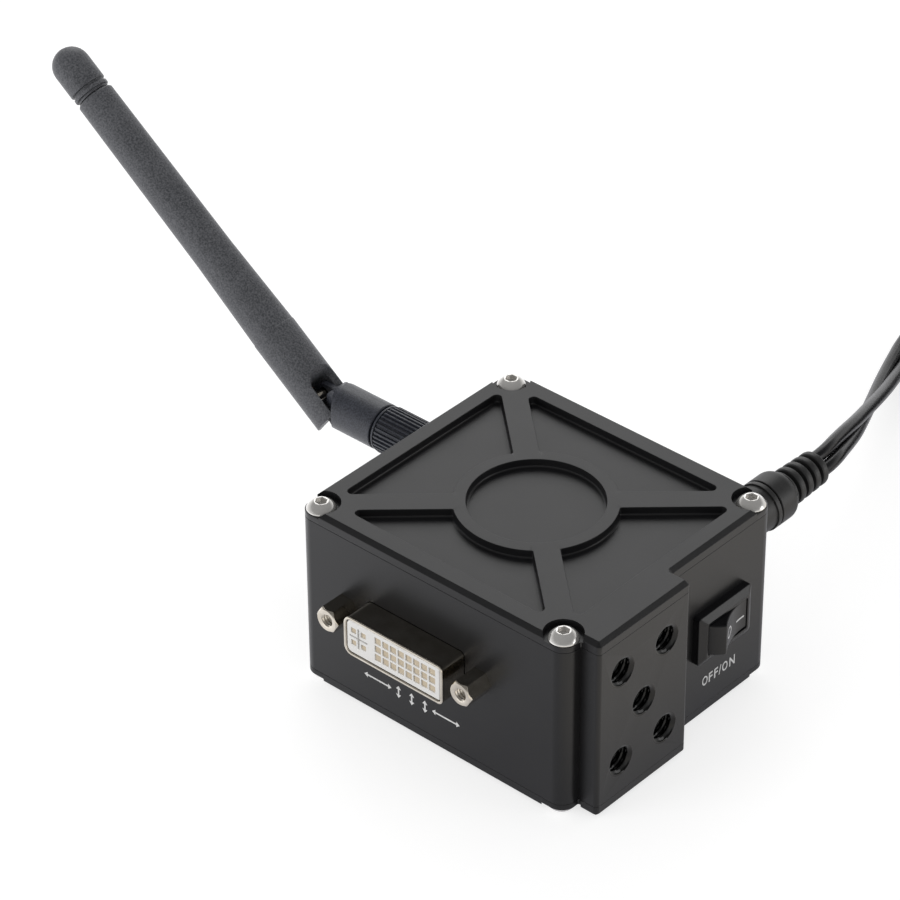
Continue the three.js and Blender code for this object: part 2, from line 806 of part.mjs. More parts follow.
// Rocker switch, with zero at the wall's outer face and x along the rocker
function switchHousing() {
  const [a, b] = [switchBodyLength / 2, switchBodyHeight / 2];
  const windowHalf = rockerWindow / 2;
  const floor = -switchBodyDepth + switchFloor;
  const sharp = outline(rectangle(bezelLength, bezelHeight));
  const sloped = slopedPrism(sharp, 0, bezelReach, bezelReach - bezelEdge, bezelSlope);
  const rounded = prism(outline(rectangle(bezelLength, bezelHeight, bezelCorner)), 0, bezelReach);
  let body = join(
    sloped.intersect(rounded),
    box(-a, a, -b, b, -switchBodyDepth, overrun),
  );
  const room = rockerRadius + rockerGap;
  const armRoom = a - switchFloor;
  const seat = rockerWindow + 2 * trunnionLength;
  body = cut(
    body,
    crossRod('y', room, rockerWindow, 0, 0, -rockerPivotDepth, rockerSides),
    box(-armRoom, armRoom, -windowHalf, windowHalf, floor, -rockerPivotDepth - plungerLength / 2),
    crossRod('y', trunnionRadius + rockerGap, seat, 0, 0, -rockerPivotDepth, smallSides),
  );
  for (const x of [0, -terminalOffset]) {
    const [c, d] = [terminalSheet / 2 + fit, terminalWidth / 2 + fit];
    body = cut(body, box(x - c, x + c, -d, d, -switchBodyDepth - overrun, floor + overrun));
  }
  return body;
}

// The rocker about its own pivot, level
function rockerPiece() {
  const reach = 2 * rockerRadius;
  const half = rockerWidth / 2;
  const lengthwise = plungerLengthwise / 2;
  const dish = rockerMiddle + rockerDishRadius;
  return join(
    cut(
      crossRod('y', rockerRadius, rockerWidth, 0, 0, 0, rockerSides),
      crossRod('y', rockerDishRadius, reach, 0, 0, dish, rockerSides),
      box(-reach, reach, -half - overrun, half + overrun, -reach, -rockerSkirt),
    ),
    box(-lengthwise, lengthwise, -plungerWidth / 2, plungerWidth / 2, -plungerLength, 0),
    crossRod('y', trunnionRadius, rockerWidth + 2 * trunnionLength, 0, 0, 0, smallSides),
  );
}

function switchPieces() {
  piece('switch_housing', switchHousing(), blackPlastic, switchSide);
  const rocker = piece('switch_rocker', rockerPiece(), blackPlastic, switchSide);
  rocker.position.z = -rockerPivotDepth;
  rocker.rotation.y = THREE.MathUtils.degToRad(rockerTiltDegrees);
  const arm = box(-armLength / 2, armLength / 2, -armWidth / 2, armWidth / 2, 0, armSheet);
  const contactArm = piece('switch_contact_arm', arm, brass, switchSide);
  contactArm.position.z = -armPivotDepth;
  contactArm.rotation.y = -THREE.MathUtils.degToRad(rockerTiltDegrees * armTiltShare);
  [[0, 0], [-terminalOffset, terminalDrop]].forEach(([x, drop], i) => {
    const [a, b] = [terminalSheet / 2, terminalWidth / 2];
    const top = -armPivotDepth - fit - drop;
    piece(`switch_terminal_${i + 1}`, box(x - a, x + a, -b, b, -terminalEnd, top), brass, switchSide);
  });
}

// Power socket and plug, with zero at the wall's outer face
function powerPieces() {
  const half = socketBody / 2;
  const socket = cut(
    join(
      box(-half, half, -half, half, -socketBodyDepth, -caseWall),
      rod(socketTubeRadius, -caseWall - overrun, socketTubeReach),
    ),
    rod(socketBoreRadius, -socketBoreDepth, socketTubeReach + overrun),
    rod(socketPinRadius + fit, -socketBodyDepth - overrun, 0, 0, 0, smallSides),
  );
  piece('power_socket', socket, blackPlastic, powerSide);
  const pin = rod(socketPinRadius, -socketBodyDepth - socketPinTail, -socketPinInset, 0, 0, smallSides);
  piece('power_socket_pin', pin, nickel, powerSide);
  const nut = turned(tubeProfile(socketTubeRadius + fit, socketNutRadius, 0, socketNutHeight));
  piece('power_socket_nut', nut, nickel, powerSide);
  const bodyStart = socketTubeReach + fit;
  const sleeveEnd = bodyStart + plugSleeveHold;
  const sleeve = tubeProfile(plugSleeveBore, plugSleeveRadius, -plugSleeveLength, sleeveEnd);
  piece('power_plug_sleeve', turned(sleeve, smallSides), nickel, powerSide);
  const holdEnd = sleeveEnd + fit;
  const holdRadius = plugSleeveRadius + fit;
  const grooveEnd = plugGrooveReach + plugGrooveWidth;
  const barrelEnd = grooveEnd + plugBarrelLength;
  const body = turned([
    [0, holdEnd], [holdRadius, holdEnd], [holdRadius, bodyStart], [plugBodyRadius, bodyStart],
    [plugBodyRadius, plugGrooveReach - plugRingWidth], [plugRingRadius, plugGrooveReach - plugRingWidth],
    [plugRingRadius, plugGrooveReach], [plugGrooveRadius, plugGrooveReach], [plugGrooveRadius, grooveEnd],
    [plugRingRadius, grooveEnd], [plugRingRadius, barrelEnd - plugBarrelRound],
    [plugRingRadius - plugBarrelRound / 3, barrelEnd - plugBarrelRound / 3],
    [plugRingRadius - plugBarrelRound, barrelEnd], [0, barrelEnd],
  ]);
  piece('power_plug_body', body, blackJacket, powerSide);
  piece('power_plug_strain_relief', strainRelief(barrelEnd + fit, reliefEnd), blackJacket, powerSide);
}

// A tapered relief with rings of slots round it
function strainRelief(start, end) {
  const profile = [[0, start]];
  const pitch = (end - start) / reliefSlots;
  for (let slot = 0; slot < reliefSlots; slot += 1) {
    const low = start + slot * pitch;
    const gapStart = low + pitch * (1 - reliefSlotShare);
    const radius = reliefFrontRadius + (reliefRearRadius - reliefFrontRadius) * (slot / (reliefSlots - 1));
    profile.push([radius, low], [radius, gapStart]);
    if (slot < reliefSlots - 1) {
      profile.push([radius - reliefSlotDepth, gapStart], [radius - reliefSlotDepth, low + pitch]);
    } else {
      profile.push([radius, end]);
    }
  }
  profile.push([0, end]);
  return turned(profile, smallSides);
}

// Power lead: out of the plug, down to the table, round to the coil
const coilZ = groundZ + tieSheet + fit + leadRadius;
const restZ = groundZ + leadRadius;
const entryAngle = THREE.MathUtils.degToRad(coilEntryDegrees);
const sweptTurns = coilTurns + coilEntryDegrees / 360;
const leadExitY = halfDepth + reliefEnd + fit;
const coilCentreX = powerX + coilAside;
const coilCentreY = leadExitY + coilBehind;

function coilPoint(turns) {
  const fromMiddle = turns - sweptTurns / 2;
  const radius = coilOuterRadius - coilPitch * (sweptTurns / 2 - Math.abs(fromMiddle));
  const angle = entryAngle - turns * 2 * Math.PI;
  const climb = THREE.MathUtils.smoothstep(fromMiddle, -coilClimbTurns / 2, coilClimbTurns / 2);
  const [x, y] = [radius * Math.cos(angle), radius * Math.sin(angle)];
  return new THREE.Vector3(coilCentreX + x, coilCentreY + y, coilZ + coilPitch * climb);
}

const coilStart = coilPoint(0);
const coilHeading = new THREE.Vector3(Math.sin(entryAngle), -Math.cos(entryAngle), 0);
const coilEntry = coilStart.clone().addScaledVector(coilHeading, -2 * leadRadius);

// Hand-placed points of the free stretch: how far aside and behind the plug's end, and the height
const leadRoute = [
  [-0.2, 3.4, 23.9], [-1, 6.9, 23.4], [-2.2, 10.3, 22.5], [-4.3, 16, 20.7], [-6.9, 22.5, 18.4],
  [-10.2, 29.8, 15.7], [-13.6, 37.1, 13], [-17.1, 44.5, 10.4], [-20.7, 52.1, 8], [-23.7, 58.5, 6],
  [-26.6, 64.9, 4.3], [-29, 70.4, 3.1], [-31.4, 78.2, 2.5], [-32.4, 86.5, 2.4], [-31.4, 94.8, 2.5],
  [-28.5, 102.7, 2.9],
];

function powerLead() {
  const points = [new THREE.Vector3(powerX, leadExitY, powerZ)];
  for (const [aside, behind, height] of leadRoute) {
    points.push(new THREE.Vector3(powerX + aside, leadExitY + behind, Math.max(height, restZ)));
  }
  points.push(coilEntry.clone().addScaledVector(coilHeading, -fit));
  return tubeAlong(points, leadRadius, leadSides, leadRoute.length * 2 + 2);
}

function coilPath() {
  const points = [coilEntry];
  const steps = Math.round(sweptTurns * coilStepsPerTurn);
  for (let i = 0; i <= steps; i += 1) {
    points.push(coilPoint(i * sweptTurns / steps));
  }
  const last = points[points.length - 1];
  for (const [along, drop] of tailDrop) {
    points.push(new THREE.Vector3(last.x, last.y - along, last.z - drop));
  }
  const level = points[points.length - 1];
  points.push(new THREE.Vector3(level.x, level.y - 2 * leadRadius, level.z));
  return points;
}

// The least distance between two stretches of the path that lie at least half a turn apart
function leastGap(points) {
  let least = Infinity;
  for (let i = 0; i < points.length; i += 1) {
    for (let j = i + coilStepsPerTurn / 2; j < points.length; j += 1) {
      least = Math.min(least, points[i].distanceTo(points[j]));
    }
  }
  return least - 2 * leadRadius;
}

// A tube of flat rings, one at each point of the path, square to the path there
function windTube(points, radius, sides) {
  const positions = [];
  const triangles = [];
  const up = new THREE.Vector3(0, 0, 1);
  points.forEach((point, i) => {
    const before = points[Math.max(i - 1, 0)];
    const after = points[Math.min(i + 1, points.length - 1)];
    const along = after.clone().sub(before).normalize();
    const across = along.clone().cross(up).normalize();
    const upright = across.clone().cross(along);
    for (let k = 0; k < sides; k += 1) {
      const angle = Math.PI * (2 * k + 1) / sides;
      const spot = point.clone().addScaledVector(across, radius * Math.cos(angle));
      positions.push(...spot.addScaledVector(upright, radius * Math.sin(angle)).toArray());
    }
  });
  for (let i = 0; i < points.length - 1; i += 1) {
    for (let k = 0; k < sides; k += 1) {
      const [a, b] = [i * sides + k, i * sides + (k + 1) % sides];
      triangles.push(a, b, b + sides, a, b + sides, a + sides);
    }
  }
  const last = (points.length - 1) * sides;
  for (let k = 1; k < sides - 1; k += 1) {
    triangles.push(0, k + 1, k, last, last + k, last + k + 1);
  }
  const geometry = new THREE.BufferGeometry();
  geometry.setAttribute('position', new THREE.Float32BufferAttribute(positions, 3));
  geometry.setIndex(triangles);
  return solid(geometry);
}

// The band that holds the turns together, a closed loop round the whole bundle
function tieBand() {
  const tieAngle = THREE.MathUtils.degToRad(tieDegrees);
  const firstPass = (coilEntryDegrees - tieDegrees + 360) % 360 / 360;
  const centre = new THREE.Vector3(coilCentreX, coilCentreY, 0);
  const radii = [];
  for (let turns = firstPass; turns <= sweptTurns; turns += 1) {
    const spot = coilPoint(turns).sub(centre);
    radii.push(Math.hypot(spot.x, spot.y));
  }
  const inner = Math.min(...radii) - leadRadius - 2 * fit;
  const outer = Math.max(...radii) + leadRadius + 2 * fit;
  const [low, high] = [groundZ + tieSheet, coilZ + coilPitch + leadRadius + fit];
  const hoop = cut(
    box(inner - tieSheet, outer + tieSheet, -tieWidth / 2, tieWidth / 2, low - tieSheet, high + tieSheet),
    box(inner, outer, -tieWidth / 2 - overrun, tieWidth / 2 + overrun, low, high),
  );
  const mesh = piece('lead_tie', hoop, blackJacket);
  mesh.position.copy(centre);
  mesh.rotation.z = tieAngle;
}

function supplyPlug(end) {
  const group = facing(0, -1, end.x, end.y - fit, end.z);
  const bodyStart = supplyReliefLength;
  const bodyEnd = bodyStart + supplyBodyLength;
  const hold = supplyBarrelRadius + fit;
  const body = turned([
    [0, 0], [supplyReliefRadius, 0], [supplyReliefRadius + supplyBodyRound / 2, bodyStart],
    [supplyBodyRadius - supplyBodyRound / 2, bodyStart], [supplyBodyRadius, bodyStart + supplyBodyRound],
    [supplyBodyRadius, bodyEnd], [hold, bodyEnd], [hold, bodyEnd - supplyBarrelHold - fit],
    [0, bodyEnd - supplyBarrelHold - fit],
  ], smallSides);
  piece('supply_plug_body', body, blackJacket, group);
  const [low, high] = [bodyEnd - supplyBarrelHold, bodyEnd + supplyBarrelLength];
  const barrel = tubeProfile(supplyBarrelBore, supplyBarrelRadius, low, high);
  piece('supply_plug_barrel', turned(barrel, smallSides), nickel, group);
}

function leadPieces() {
  piece('power_lead', powerLead(), blackJacket);
  const path = coilPath();
  console.log(`Least gap of the coil to itself: ${leastGap(path).toFixed(2)} mm`);
  piece('power_lead_coil', windTube(path, leadRadius, coilSides), blackJacket);
  tieBand();
  supplyPlug(path[path.length - 1]);
}

// Antenna socket and antenna, with zero at the wall's outer face
const couplingEnd = couplingStart + couplingLength;
const coreFlangeStart = jackReach + fit;
const shoulderStart = coreFlangeStart + coreFlangeSheet + fit;
const coreEnd = coreFlangeStart + coreFlangeSheet + coreNeckLength;

function antennaSocket() {
  const flangeRear = -caseWall - jackFlangeSheet;
  const tailEnd = flangeRear - jackTailLength;
  const jack = turned([
    [0, tailEnd], [jackTailRadius, tailEnd], [jackTailRadius, flangeRear],
    [jackFlangeRadius, flangeRear], [jackFlangeRadius, -caseWall], [jackRadius, -caseWall],
    [jackRadius, jackReach], [jackBoreRadius, jackReach], [jackBoreRadius, jackReach - jackBoreDepth],
    [0, jackReach - jackBoreDepth],
  ], smallSides);
  piece('antenna_jack', jack, brass, antennaSide);
  const bore = jackRadius + fit;
  const washer = turned(tubeProfile(bore, washerRadius, 0, washerSheet));
  piece('antenna_jack_washer', washer, nickel, antennaSide);
  const nutRadius = jackNutFlats / Math.sqrt(3);
  const nut = cut(
    rod(nutRadius, washerSheet, washerSheet + jackNutHeight, 0, 0, 6),
    rod(bore, 0, washerSheet + jackNutHeight + overrun),
  );
  piece('antenna_jack_nut', nut, brass, antennaSide);
}

// The knurled coupling nut: straight ridges with a smooth band at the far end
function couplingNut() {
  const points = [];
  const steps = couplingRidges * 2;
  for (let i = 0; i < steps; i += 1) {
    const radius = i % 2 === 0 ? couplingRadius : couplingRadius - couplingGroove;
    const angle = 2 * Math.PI * i / steps;
    points.push(new THREE.Vector2(radius * Math.cos(angle), radius * Math.sin(angle)));
  }
  return cut(
    join(
      prism(points, couplingStart, couplingEnd - couplingBand),
      rod(couplingRadius - couplingGroove, couplingEnd - couplingBand, couplingEnd),
    ),
    rod(couplingShoulder, couplingStart - overrun, shoulderStart),
    rod(coreNeckRadius + fit, shoulderStart - overrun, couplingEnd + overrun),
  );
}

function plugCore() {
  const flangeRadius = couplingShoulder - fit;
  return turned([
    [0, coreFlangeStart - coreSleeveLength], [coreSleeveRadius, coreFlangeStart - coreSleeveLength],
    [coreSleeveRadius, coreFlangeStart], [flangeRadius, coreFlangeStart],
    [flangeRadius, coreFlangeStart + coreFlangeSheet], [coreNeckRadius, coreFlangeStart + coreFlangeSheet],
    [coreNeckRadius, coreEnd], [0, coreEnd],
  ], smallSides);
}

// The elbow, about the hinge axis along x at the pivot: a round bar with a flat tongue
function elbowPiece() {
  const start = couplingEnd + fit;
  const recess = cheekRadius + fit;
  const tongueHalf = tongueWidth / 2;
  const bar = rod(elbowRadius, start, pivotReach + tongueRadius);
  const side = elbowRadius + overrun;
  let body = bar;
  for (const [x0, x1] of [[-side, -tongueHalf], [tongueHalf, side]]) {
    const middle = (x0 + x1) / 2;
    body = cut(
      body,
      crossRod('x', recess, x1 - x0, middle, 0, pivotReach, rockerSides),
      box(x0, x1, -side, side, pivotReach, pivotReach + recess),
    );
  }
  const tongueSpace = join(
    crossRod('x', tongueRadius, 2 * side, 0, 0, pivotReach, rockerSides),
    box(-side, side, -tongueRadius, tongueRadius, pivotReach - recess - overrun, pivotReach),
  );
  const around = box(-side, side, -side, side, pivotReach - recess + fit, pivotReach + recess);
  return cut(
    body,
    cut(around, tongueSpace),
    box(coaxLapStart, side, -side, side, pivotReach - coaxLapReach, pivotReach + recess),
    rod(coreNeckRadius + fit, start - overrun, coreEnd + fit),
    crossRod('x', hingePinRadius + fit, 2 * side, 0, 0, pivotReach, smallSides),
  );
}

// The mast about its pivot, standing along +Z
function mastPiece() {
  const slotHalf = tongueWidth / 2 + fit;
  const wide = 2 * mastBaseRadius;
  const bar = turned([
    [0, -mastStart], [mastBaseRadius, -mastStart], [mastBaseRadius, mastBaseLength],
    [mastWaistRadius, mastWaistLength], [mastTopRadius, mastLength], [0, mastLength],
  ]);
  const corner = cut(
    box(-wide, wide, -wide, wide, -wide, 0),
    crossRod('x', cheekRadius, 2 * wide + overrun, 0, 0, 0, rockerSides),
  );
  return cut(
    bar,
    corner,
    box(-slotHalf, slotHalf, -wide, wide, -wide, slotEnd),
    crossRod('x', hingePinRadius + fit, hingePinLength + 2 * fit, 0, 0, 0, smallSides),
    rod(coaxRadius + fit, 0, coaxEnd + fit, coaxOffset, 0, smallSides),
    rod(mastBoreRadius, mastBoreStart, mastLength + overrun, 0, 0, smallSides),
  );
}

function tipCap() {
  const profile = [
    [0, mastLength + fit], [capNeckRadius, mastLength + fit], [capNeckRadius, capRingStart],
    [capRingRadius, capRingStart], [capRingRadius, capRingStart + capRingWidth],
    [capNeckRadius, capRingStart + capRingWidth], [capNeckRadius, capStart], [capRadius, capStart],
  ];
  const domeStart = tipReach - capRadius;
  for (let k = 0; k < capSteps; k += 1) {
    const angle = Math.PI * k / (2 * capSteps);
    profile.push([capRadius * Math.cos(angle), domeStart + capRadius * Math.sin(angle)]);
  }
  profile.push([0, tipReach]);
  return turned(profile);
}

function antennaPieces() {
  antennaSocket();
  piece('antenna_plug_core', plugCore(), brass, antennaSide);
  piece('antenna_coupling_nut', couplingNut(), antennaPlastic, antennaSide);
  piece('antenna_elbow', elbowPiece(), antennaPlastic, antennaSide);
  const pin = crossRod('x', hingePinRadius, hingePinLength, 0, 0, pivotReach, smallSides);
  piece('antenna_hinge_pin', pin, nickel, antennaSide);
  const mast = new THREE.Group();
  mast.position.z = pivotReach;
  mast.rotation.x = -THREE.MathUtils.degToRad(mastBendDegrees);
  antennaSide.add(mast);
  piece('antenna_mast', mastPiece(), antennaPlastic, mast);
  piece('antenna_tip_cap', tipCap(), antennaPlastic, mast);
  piece('antenna_coax', rod(coaxRadius, coaxStart, coaxEnd, coaxOffset, 0, smallSides), brass, mast);
  const radiator = rod(radiatorRadius, mastBoreStart + fit, mastLength - fit, 0, 0, smallSides);
  piece('antenna_radiator', radiator, brass, mast);
}

// Circuit board and its parts
function wire(name, points, material) {
  const route = points.map(([x, y, z]) => new THREE.Vector3(x, y, z));
  piece(name, tubeAlong(route, wireRadius, wireSides, wireSteps), material);
}

function boardPieces() {
  const space = outline(cavityOutline(), boardMargin);
  const [low, high] = [boardTop - boardSheet - overrun, boardTop + overrun];
  let board = cut(
    prism(space, boardTop - boardSheet, boardTop),
    box(boardEdge, halfWidth, -halfDepth, halfDepth, low, high),
  );
  for (const [x, y] of boardScrewPlaces) {
    board = cut(board, rod(boardScrewHole, low, high, x, y, smallSides));
  }
  piece('main_board', board, boardGreen);
  boardScrewPlaces.forEach(([x, y], i) => {
    const headTop = boardTop + boardScrewHeadHeight;
    const screw = join(
      rod(boardScrewHead, boardTop, headTop, x, y, smallSides),
      rod(boardScrewShank, boardTop - boardScrewLength, headTop - fit, x, y, smallSides),
    );
    piece(`board_screw_${i + 1}`, screw, stainless);
  });
  const [mx, my] = [moduleWidth / 2, caseDepth * moduleShare / 2];
  const moduleX = moduleEdge - innerX;
  const moduleY = boardScrewY - boardScrewHead - moduleGap - my;
  const moduleTop = boardTop + moduleSheet;
  const module = box(moduleX - mx, moduleX + mx, moduleY - my, moduleY + my, boardTop, moduleTop);
  piece('radio_module', module, boardGreen);
  const [sx, sy] = [shieldWidth / 2, my * shieldShare];
  const shieldY = moduleY - my + sy + boardMargin;
  const shieldTop = moduleTop + shieldHeight;
  const shield = box(moduleX - sx, moduleX + sx, shieldY - sy, shieldY + sy, moduleTop, shieldTop);
  piece('radio_shield', shield, nickel);
  const chipX = moduleX + mx + chipGap + chipWidth / 2;
  piece('processor_chip', square(chipX, chipY, chipWidth, boardTop, boardTop + chipHeight), blackPlastic);
  for (let i = 0; i < 2; i += 1) {
    const x = boardEdge - capacitorEdge + (i - 1) * capacitorPitch;
    const can = rod(capacitorRadius, boardTop, boardTop + capacitorHeight, x, capacitorY, smallSides);
    piece(`capacitor_${i + 1}`, can, blackPlastic);
  }
  const jackTail = -innerX + jackFlangeSheet + jackTailLength;
  const pigtailY = shieldY + sy + boardMargin + 2 * wireRadius;
  wire('antenna_pigtail', [
    [moduleX, pigtailY, moduleTop + fit], [moduleX, pigtailY, shieldTop + 2 * wireRadius],
    [(moduleX + jackTail) / 2, (pigtailY + antennaY) / 2, (shieldTop + antennaZ) / 2],
    [jackTail + 4 * wireRadius, antennaY, antennaZ], [jackTail + fit, antennaY, antennaZ],
  ], blackJacket);
  const socketRear = halfDepth - socketBodyDepth;
  const bend = 4 * wireRadius;
  const wires = [['power_wire_red', redJacket], ['power_wire_black', blackJacket]];
  wires.forEach(([name, material], i) => {
    const x = powerX - socketBody / 2 + wireRadius * (1 + 3 * i);
    const y = socketRear - 2 * bend;
    wire(name, [
      [x, socketRear - fit, powerZ], [x, socketRear - bend, powerZ],
      [x, y, (powerZ + boardTop) / 2], [x, y, boardTop + fit],
    ], material);
  });
}

piece('case_frame', caseFrame(), anodised);
piece('top_cover', topCover(), anodised);
piece('bottom_cover', bottomCover(), anodised);
fasteners();
blockPieces();
outputSocket();
switchPieces();
powerPieces();
leadPieces();
antennaPieces();
boardPieces();

export default controlBox;
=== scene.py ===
# %% [markdown]
# A small wireless control box for a camera's pan and tilt head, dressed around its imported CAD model.
# The frame below holds the real sizes: every piece that is added here goes exactly where the CAD says,
# because both use metres, the same origin (the middle of the box's underside) and +Z up.

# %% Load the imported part
import math

import bpy
import numpy as np
from mathutils import Matrix


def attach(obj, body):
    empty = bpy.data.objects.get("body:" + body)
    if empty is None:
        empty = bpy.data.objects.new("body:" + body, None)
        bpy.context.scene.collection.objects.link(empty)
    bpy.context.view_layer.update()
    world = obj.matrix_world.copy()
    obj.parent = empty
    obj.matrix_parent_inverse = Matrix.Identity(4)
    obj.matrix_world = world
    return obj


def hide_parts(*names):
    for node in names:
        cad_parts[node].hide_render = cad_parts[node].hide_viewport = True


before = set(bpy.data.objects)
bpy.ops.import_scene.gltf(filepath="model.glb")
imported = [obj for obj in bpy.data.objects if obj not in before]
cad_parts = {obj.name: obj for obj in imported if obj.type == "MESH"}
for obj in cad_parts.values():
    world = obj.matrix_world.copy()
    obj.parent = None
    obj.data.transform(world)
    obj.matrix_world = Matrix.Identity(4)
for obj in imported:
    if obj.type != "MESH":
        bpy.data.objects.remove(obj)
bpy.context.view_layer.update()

# %% [markdown]
# The camera stands where the photographer's stood. Its place and direction come from the photograph's
# straight edges and screws, solved as one perspective. A long lens from almost a metre away keeps the
# box's edges nearly parallel.

# %% The camera
MM = 0.001
PICTURE = 900
SENSOR = 36
FOCAL_PIXELS = 4079.68
CAMERA_PLACE = (396.207, -462.720, 483.919)
CAMERA_RIGHT = (0.745377, 0.666612, -0.006355)
CAMERA_UP = (-0.382079, 0.434997, 0.815348)
CAMERA_BACK = (0.546286, -0.605314, 0.578936)

scene = bpy.context.scene
camera = bpy.data.objects.new("camera", bpy.data.cameras.new("camera"))
camera.data.sensor_width = SENSOR
camera.data.lens = FOCAL_PIXELS / PICTURE * SENSOR
facing = Matrix((CAMERA_RIGHT, CAMERA_UP, CAMERA_BACK)).transposed().to_4x4()
camera.matrix_world = Matrix.Translation([v * MM for v in CAMERA_PLACE]) @ facing
scene.collection.objects.link(camera)
scene.camera = camera
print("lens, mm:", round(camera.data.lens, 2))

# %% [markdown]
# A mesh can be drawn by hand, or worked out. Here each surface is worked out with numpy: it is a table of
# points with rows and columns, and each cell of the table becomes a four-sided face. The helper below
# gathers such tables, and flat fills between outlines, into one object. Sizes are in millimetres.

# %% Gathering surfaces into one piece
import bmesh

WELD_DISTANCE, SLIVER = 0.002, 0.001
SHARP_EDGE = math.radians(32)


def along(count, low=0.0, high=1.0):
    """Evenly spaced values from low to high, both included."""
    return np.linspace(low, high, count)


class Side:
    """A frame standing on one side of the box: x and y lie in the wall, and z points outwards."""

    def __init__(self, origin, x, y, z):
        self.origin = np.array(origin, float)
        self.axes = np.array([x, y, z], float)

    def place(self, points):
        """The point is the origin plus each coordinate times its axis."""
        return self.origin + np.asarray(points, float) @ self.axes


UPRIGHT = Side((0, 0, 0), (1, 0, 0), (0, 1, 0), (0, 0, 1))


class Shape:
    """Surfaces of one piece, gathered before they are welded into a mesh."""

    def __init__(self, side=UPRIGHT):
        self.side, self.points, self.faces, self.count = side, [], [], 0

    def add(self, points, faces):
        """Keeps some points, and faces that count from the first of them."""
        points = np.asarray(points, float).reshape(-1, 3)
        self.points.append(self.side.place(points))
        self.faces.extend((np.asarray(faces) + self.count).tolist())
        self.count += len(points)

    def grid(self, surface, around=True, closed=False):
        """A table of points [row, column]; each cell is a face. around joins the last column to the first."""
        rows, columns = surface.shape[:2]
        index = np.arange(rows * columns).reshape(rows, columns)
        if around:
            index = np.concatenate([index, index[:, :1]], axis=1)
        if closed:
            index = np.concatenate([index, index[:1]], axis=0)
        cells = [index[:-1, :-1], index[:-1, 1:], index[1:, 1:], index[1:, :-1]]
        self.add(surface, np.stack(cells, axis=-1).reshape(-1, 4))

    def fill(self, outer, *holes):
        """The flat region inside one outline and outside the others, cut into triangles."""
        flat = bmesh.new()
        for loop in (outer, *holes):
            corners = [flat.verts.new(point) for point in np.asarray(loop, float).tolist()]
            for first, second in zip(corners, corners[1:] + corners[:1]):
                flat.edges.new((first, second))
        bmesh.ops.triangle_fill(flat, use_beauty=True, use_dissolve=False, edges=flat.edges)
        flat.verts.index_update()
        self.add([v.co[:] for v in flat.verts], [[v.index for v in f.verts] for f in flat.faces])
        flat.free()

    def solid(self, rows):
        """A table whose first and last rows are flat outlines, closed by filling them."""
        self.grid(rows)
        self.fill(rows[0])
        self.fill(rows[-1])

    def join(self, other):
        """Takes over another shape's surfaces, which may lie in another frame."""
        self.points += other.points
        self.faces += [[v + self.count for v in face] for face in other.faces]
        self.count += other.count

    def weld(self, name):
        """One mesh of what was gathered: points that meet are joined, and the faces are turned outwards."""
        mesh = bpy.data.meshes.new(name)
        mesh.from_pydata((np.concatenate(self.points) * MM).tolist(), [], self.faces)
        work = bmesh.new()
        work.from_mesh(mesh)
        bmesh.ops.remove_doubles(work, verts=work.verts, dist=WELD_DISTANCE * MM)
        bmesh.ops.dissolve_degenerate(work, edges=work.edges, dist=SLIVER * MM)
        bmesh.ops.recalc_face_normals(work, faces=work.faces)
        work.to_mesh(mesh)
        work.free()
        return mesh

    def make(self, name, body, finish, slot, *replaces):
        """Makes one piece for a body of the part, shaded smoothly save at its steeper edges."""
        mesh = self.weld(name)
        mesh.shade_smooth()
        mesh.set_sharp_from_angle(angle=SHARP_EDGE)
        mesh.materials.append(finish.material)
        piece = bpy.data.objects.new(name, mesh)
        scene.collection.objects.link(piece)
        piece.modifiers.new("flat faces lead", "WEIGHTED_NORMAL").keep_sharp = True
        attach(piece, body)
        if replaces:
            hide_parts(*replaces)
        print(name, len(mesh.polygons), "faces")
        return piece


# %% [markdown]
# A finish is a small network of nodes. Writing the network out node by node hides what it does, so a tiny
# class wraps each socket, and a sum or product of two sockets adds the Math node for it.

# %% Finishes as expressions
class Socket:
    """One value in a finish. Its sums and products add Math nodes."""

    def __init__(self, finish, link):
        self.finish, self.link = finish, link

    def maths(self, operation, other):
        return self.finish.node("ShaderNodeMath", {"operation": operation}, {0: self, 1: other})

    def larger(self, other):
        return self.maths("MAXIMUM", other)

    def __add__(self, other):
        return self.maths("ADD", other)

    def __mul__(self, other):
        return self.maths("MULTIPLY", other)

    __radd__, __rmul__ = __add__, __mul__


class Network:
    """A tree of shader nodes that expressions add to."""

    def __init__(self, owner):
        owner.use_nodes = True
        self.tree = owner.node_tree

    def join(self, socket, value):
        """Feeds a socket with a link, a colour or a number."""
        if isinstance(value, Socket):
            self.tree.links.new(value.link, socket)
        elif isinstance(value, tuple) and len(value) == 3 and socket.type == "RGBA":
            socket.default_value = (*value, 1)
        else:
            socket.default_value = value

    def node(self, kind, settings=(), sockets=(), output=0):
        """Adds a node, sets it up, feeds its sockets and gives back one of its outputs."""
        made = self.tree.nodes.new(kind)
        for name, value in dict(settings).items():
            if name == "stops":
                for stop, (place, level) in zip(made.color_ramp.elements, value):
                    stop.position, stop.color = place, (level, level, level, 1)
            else:
                setattr(made, name, value)
        for name, value in dict(sockets).items():
            self.join(made.inputs[name], value)
        return Socket(self, made.outputs[output])


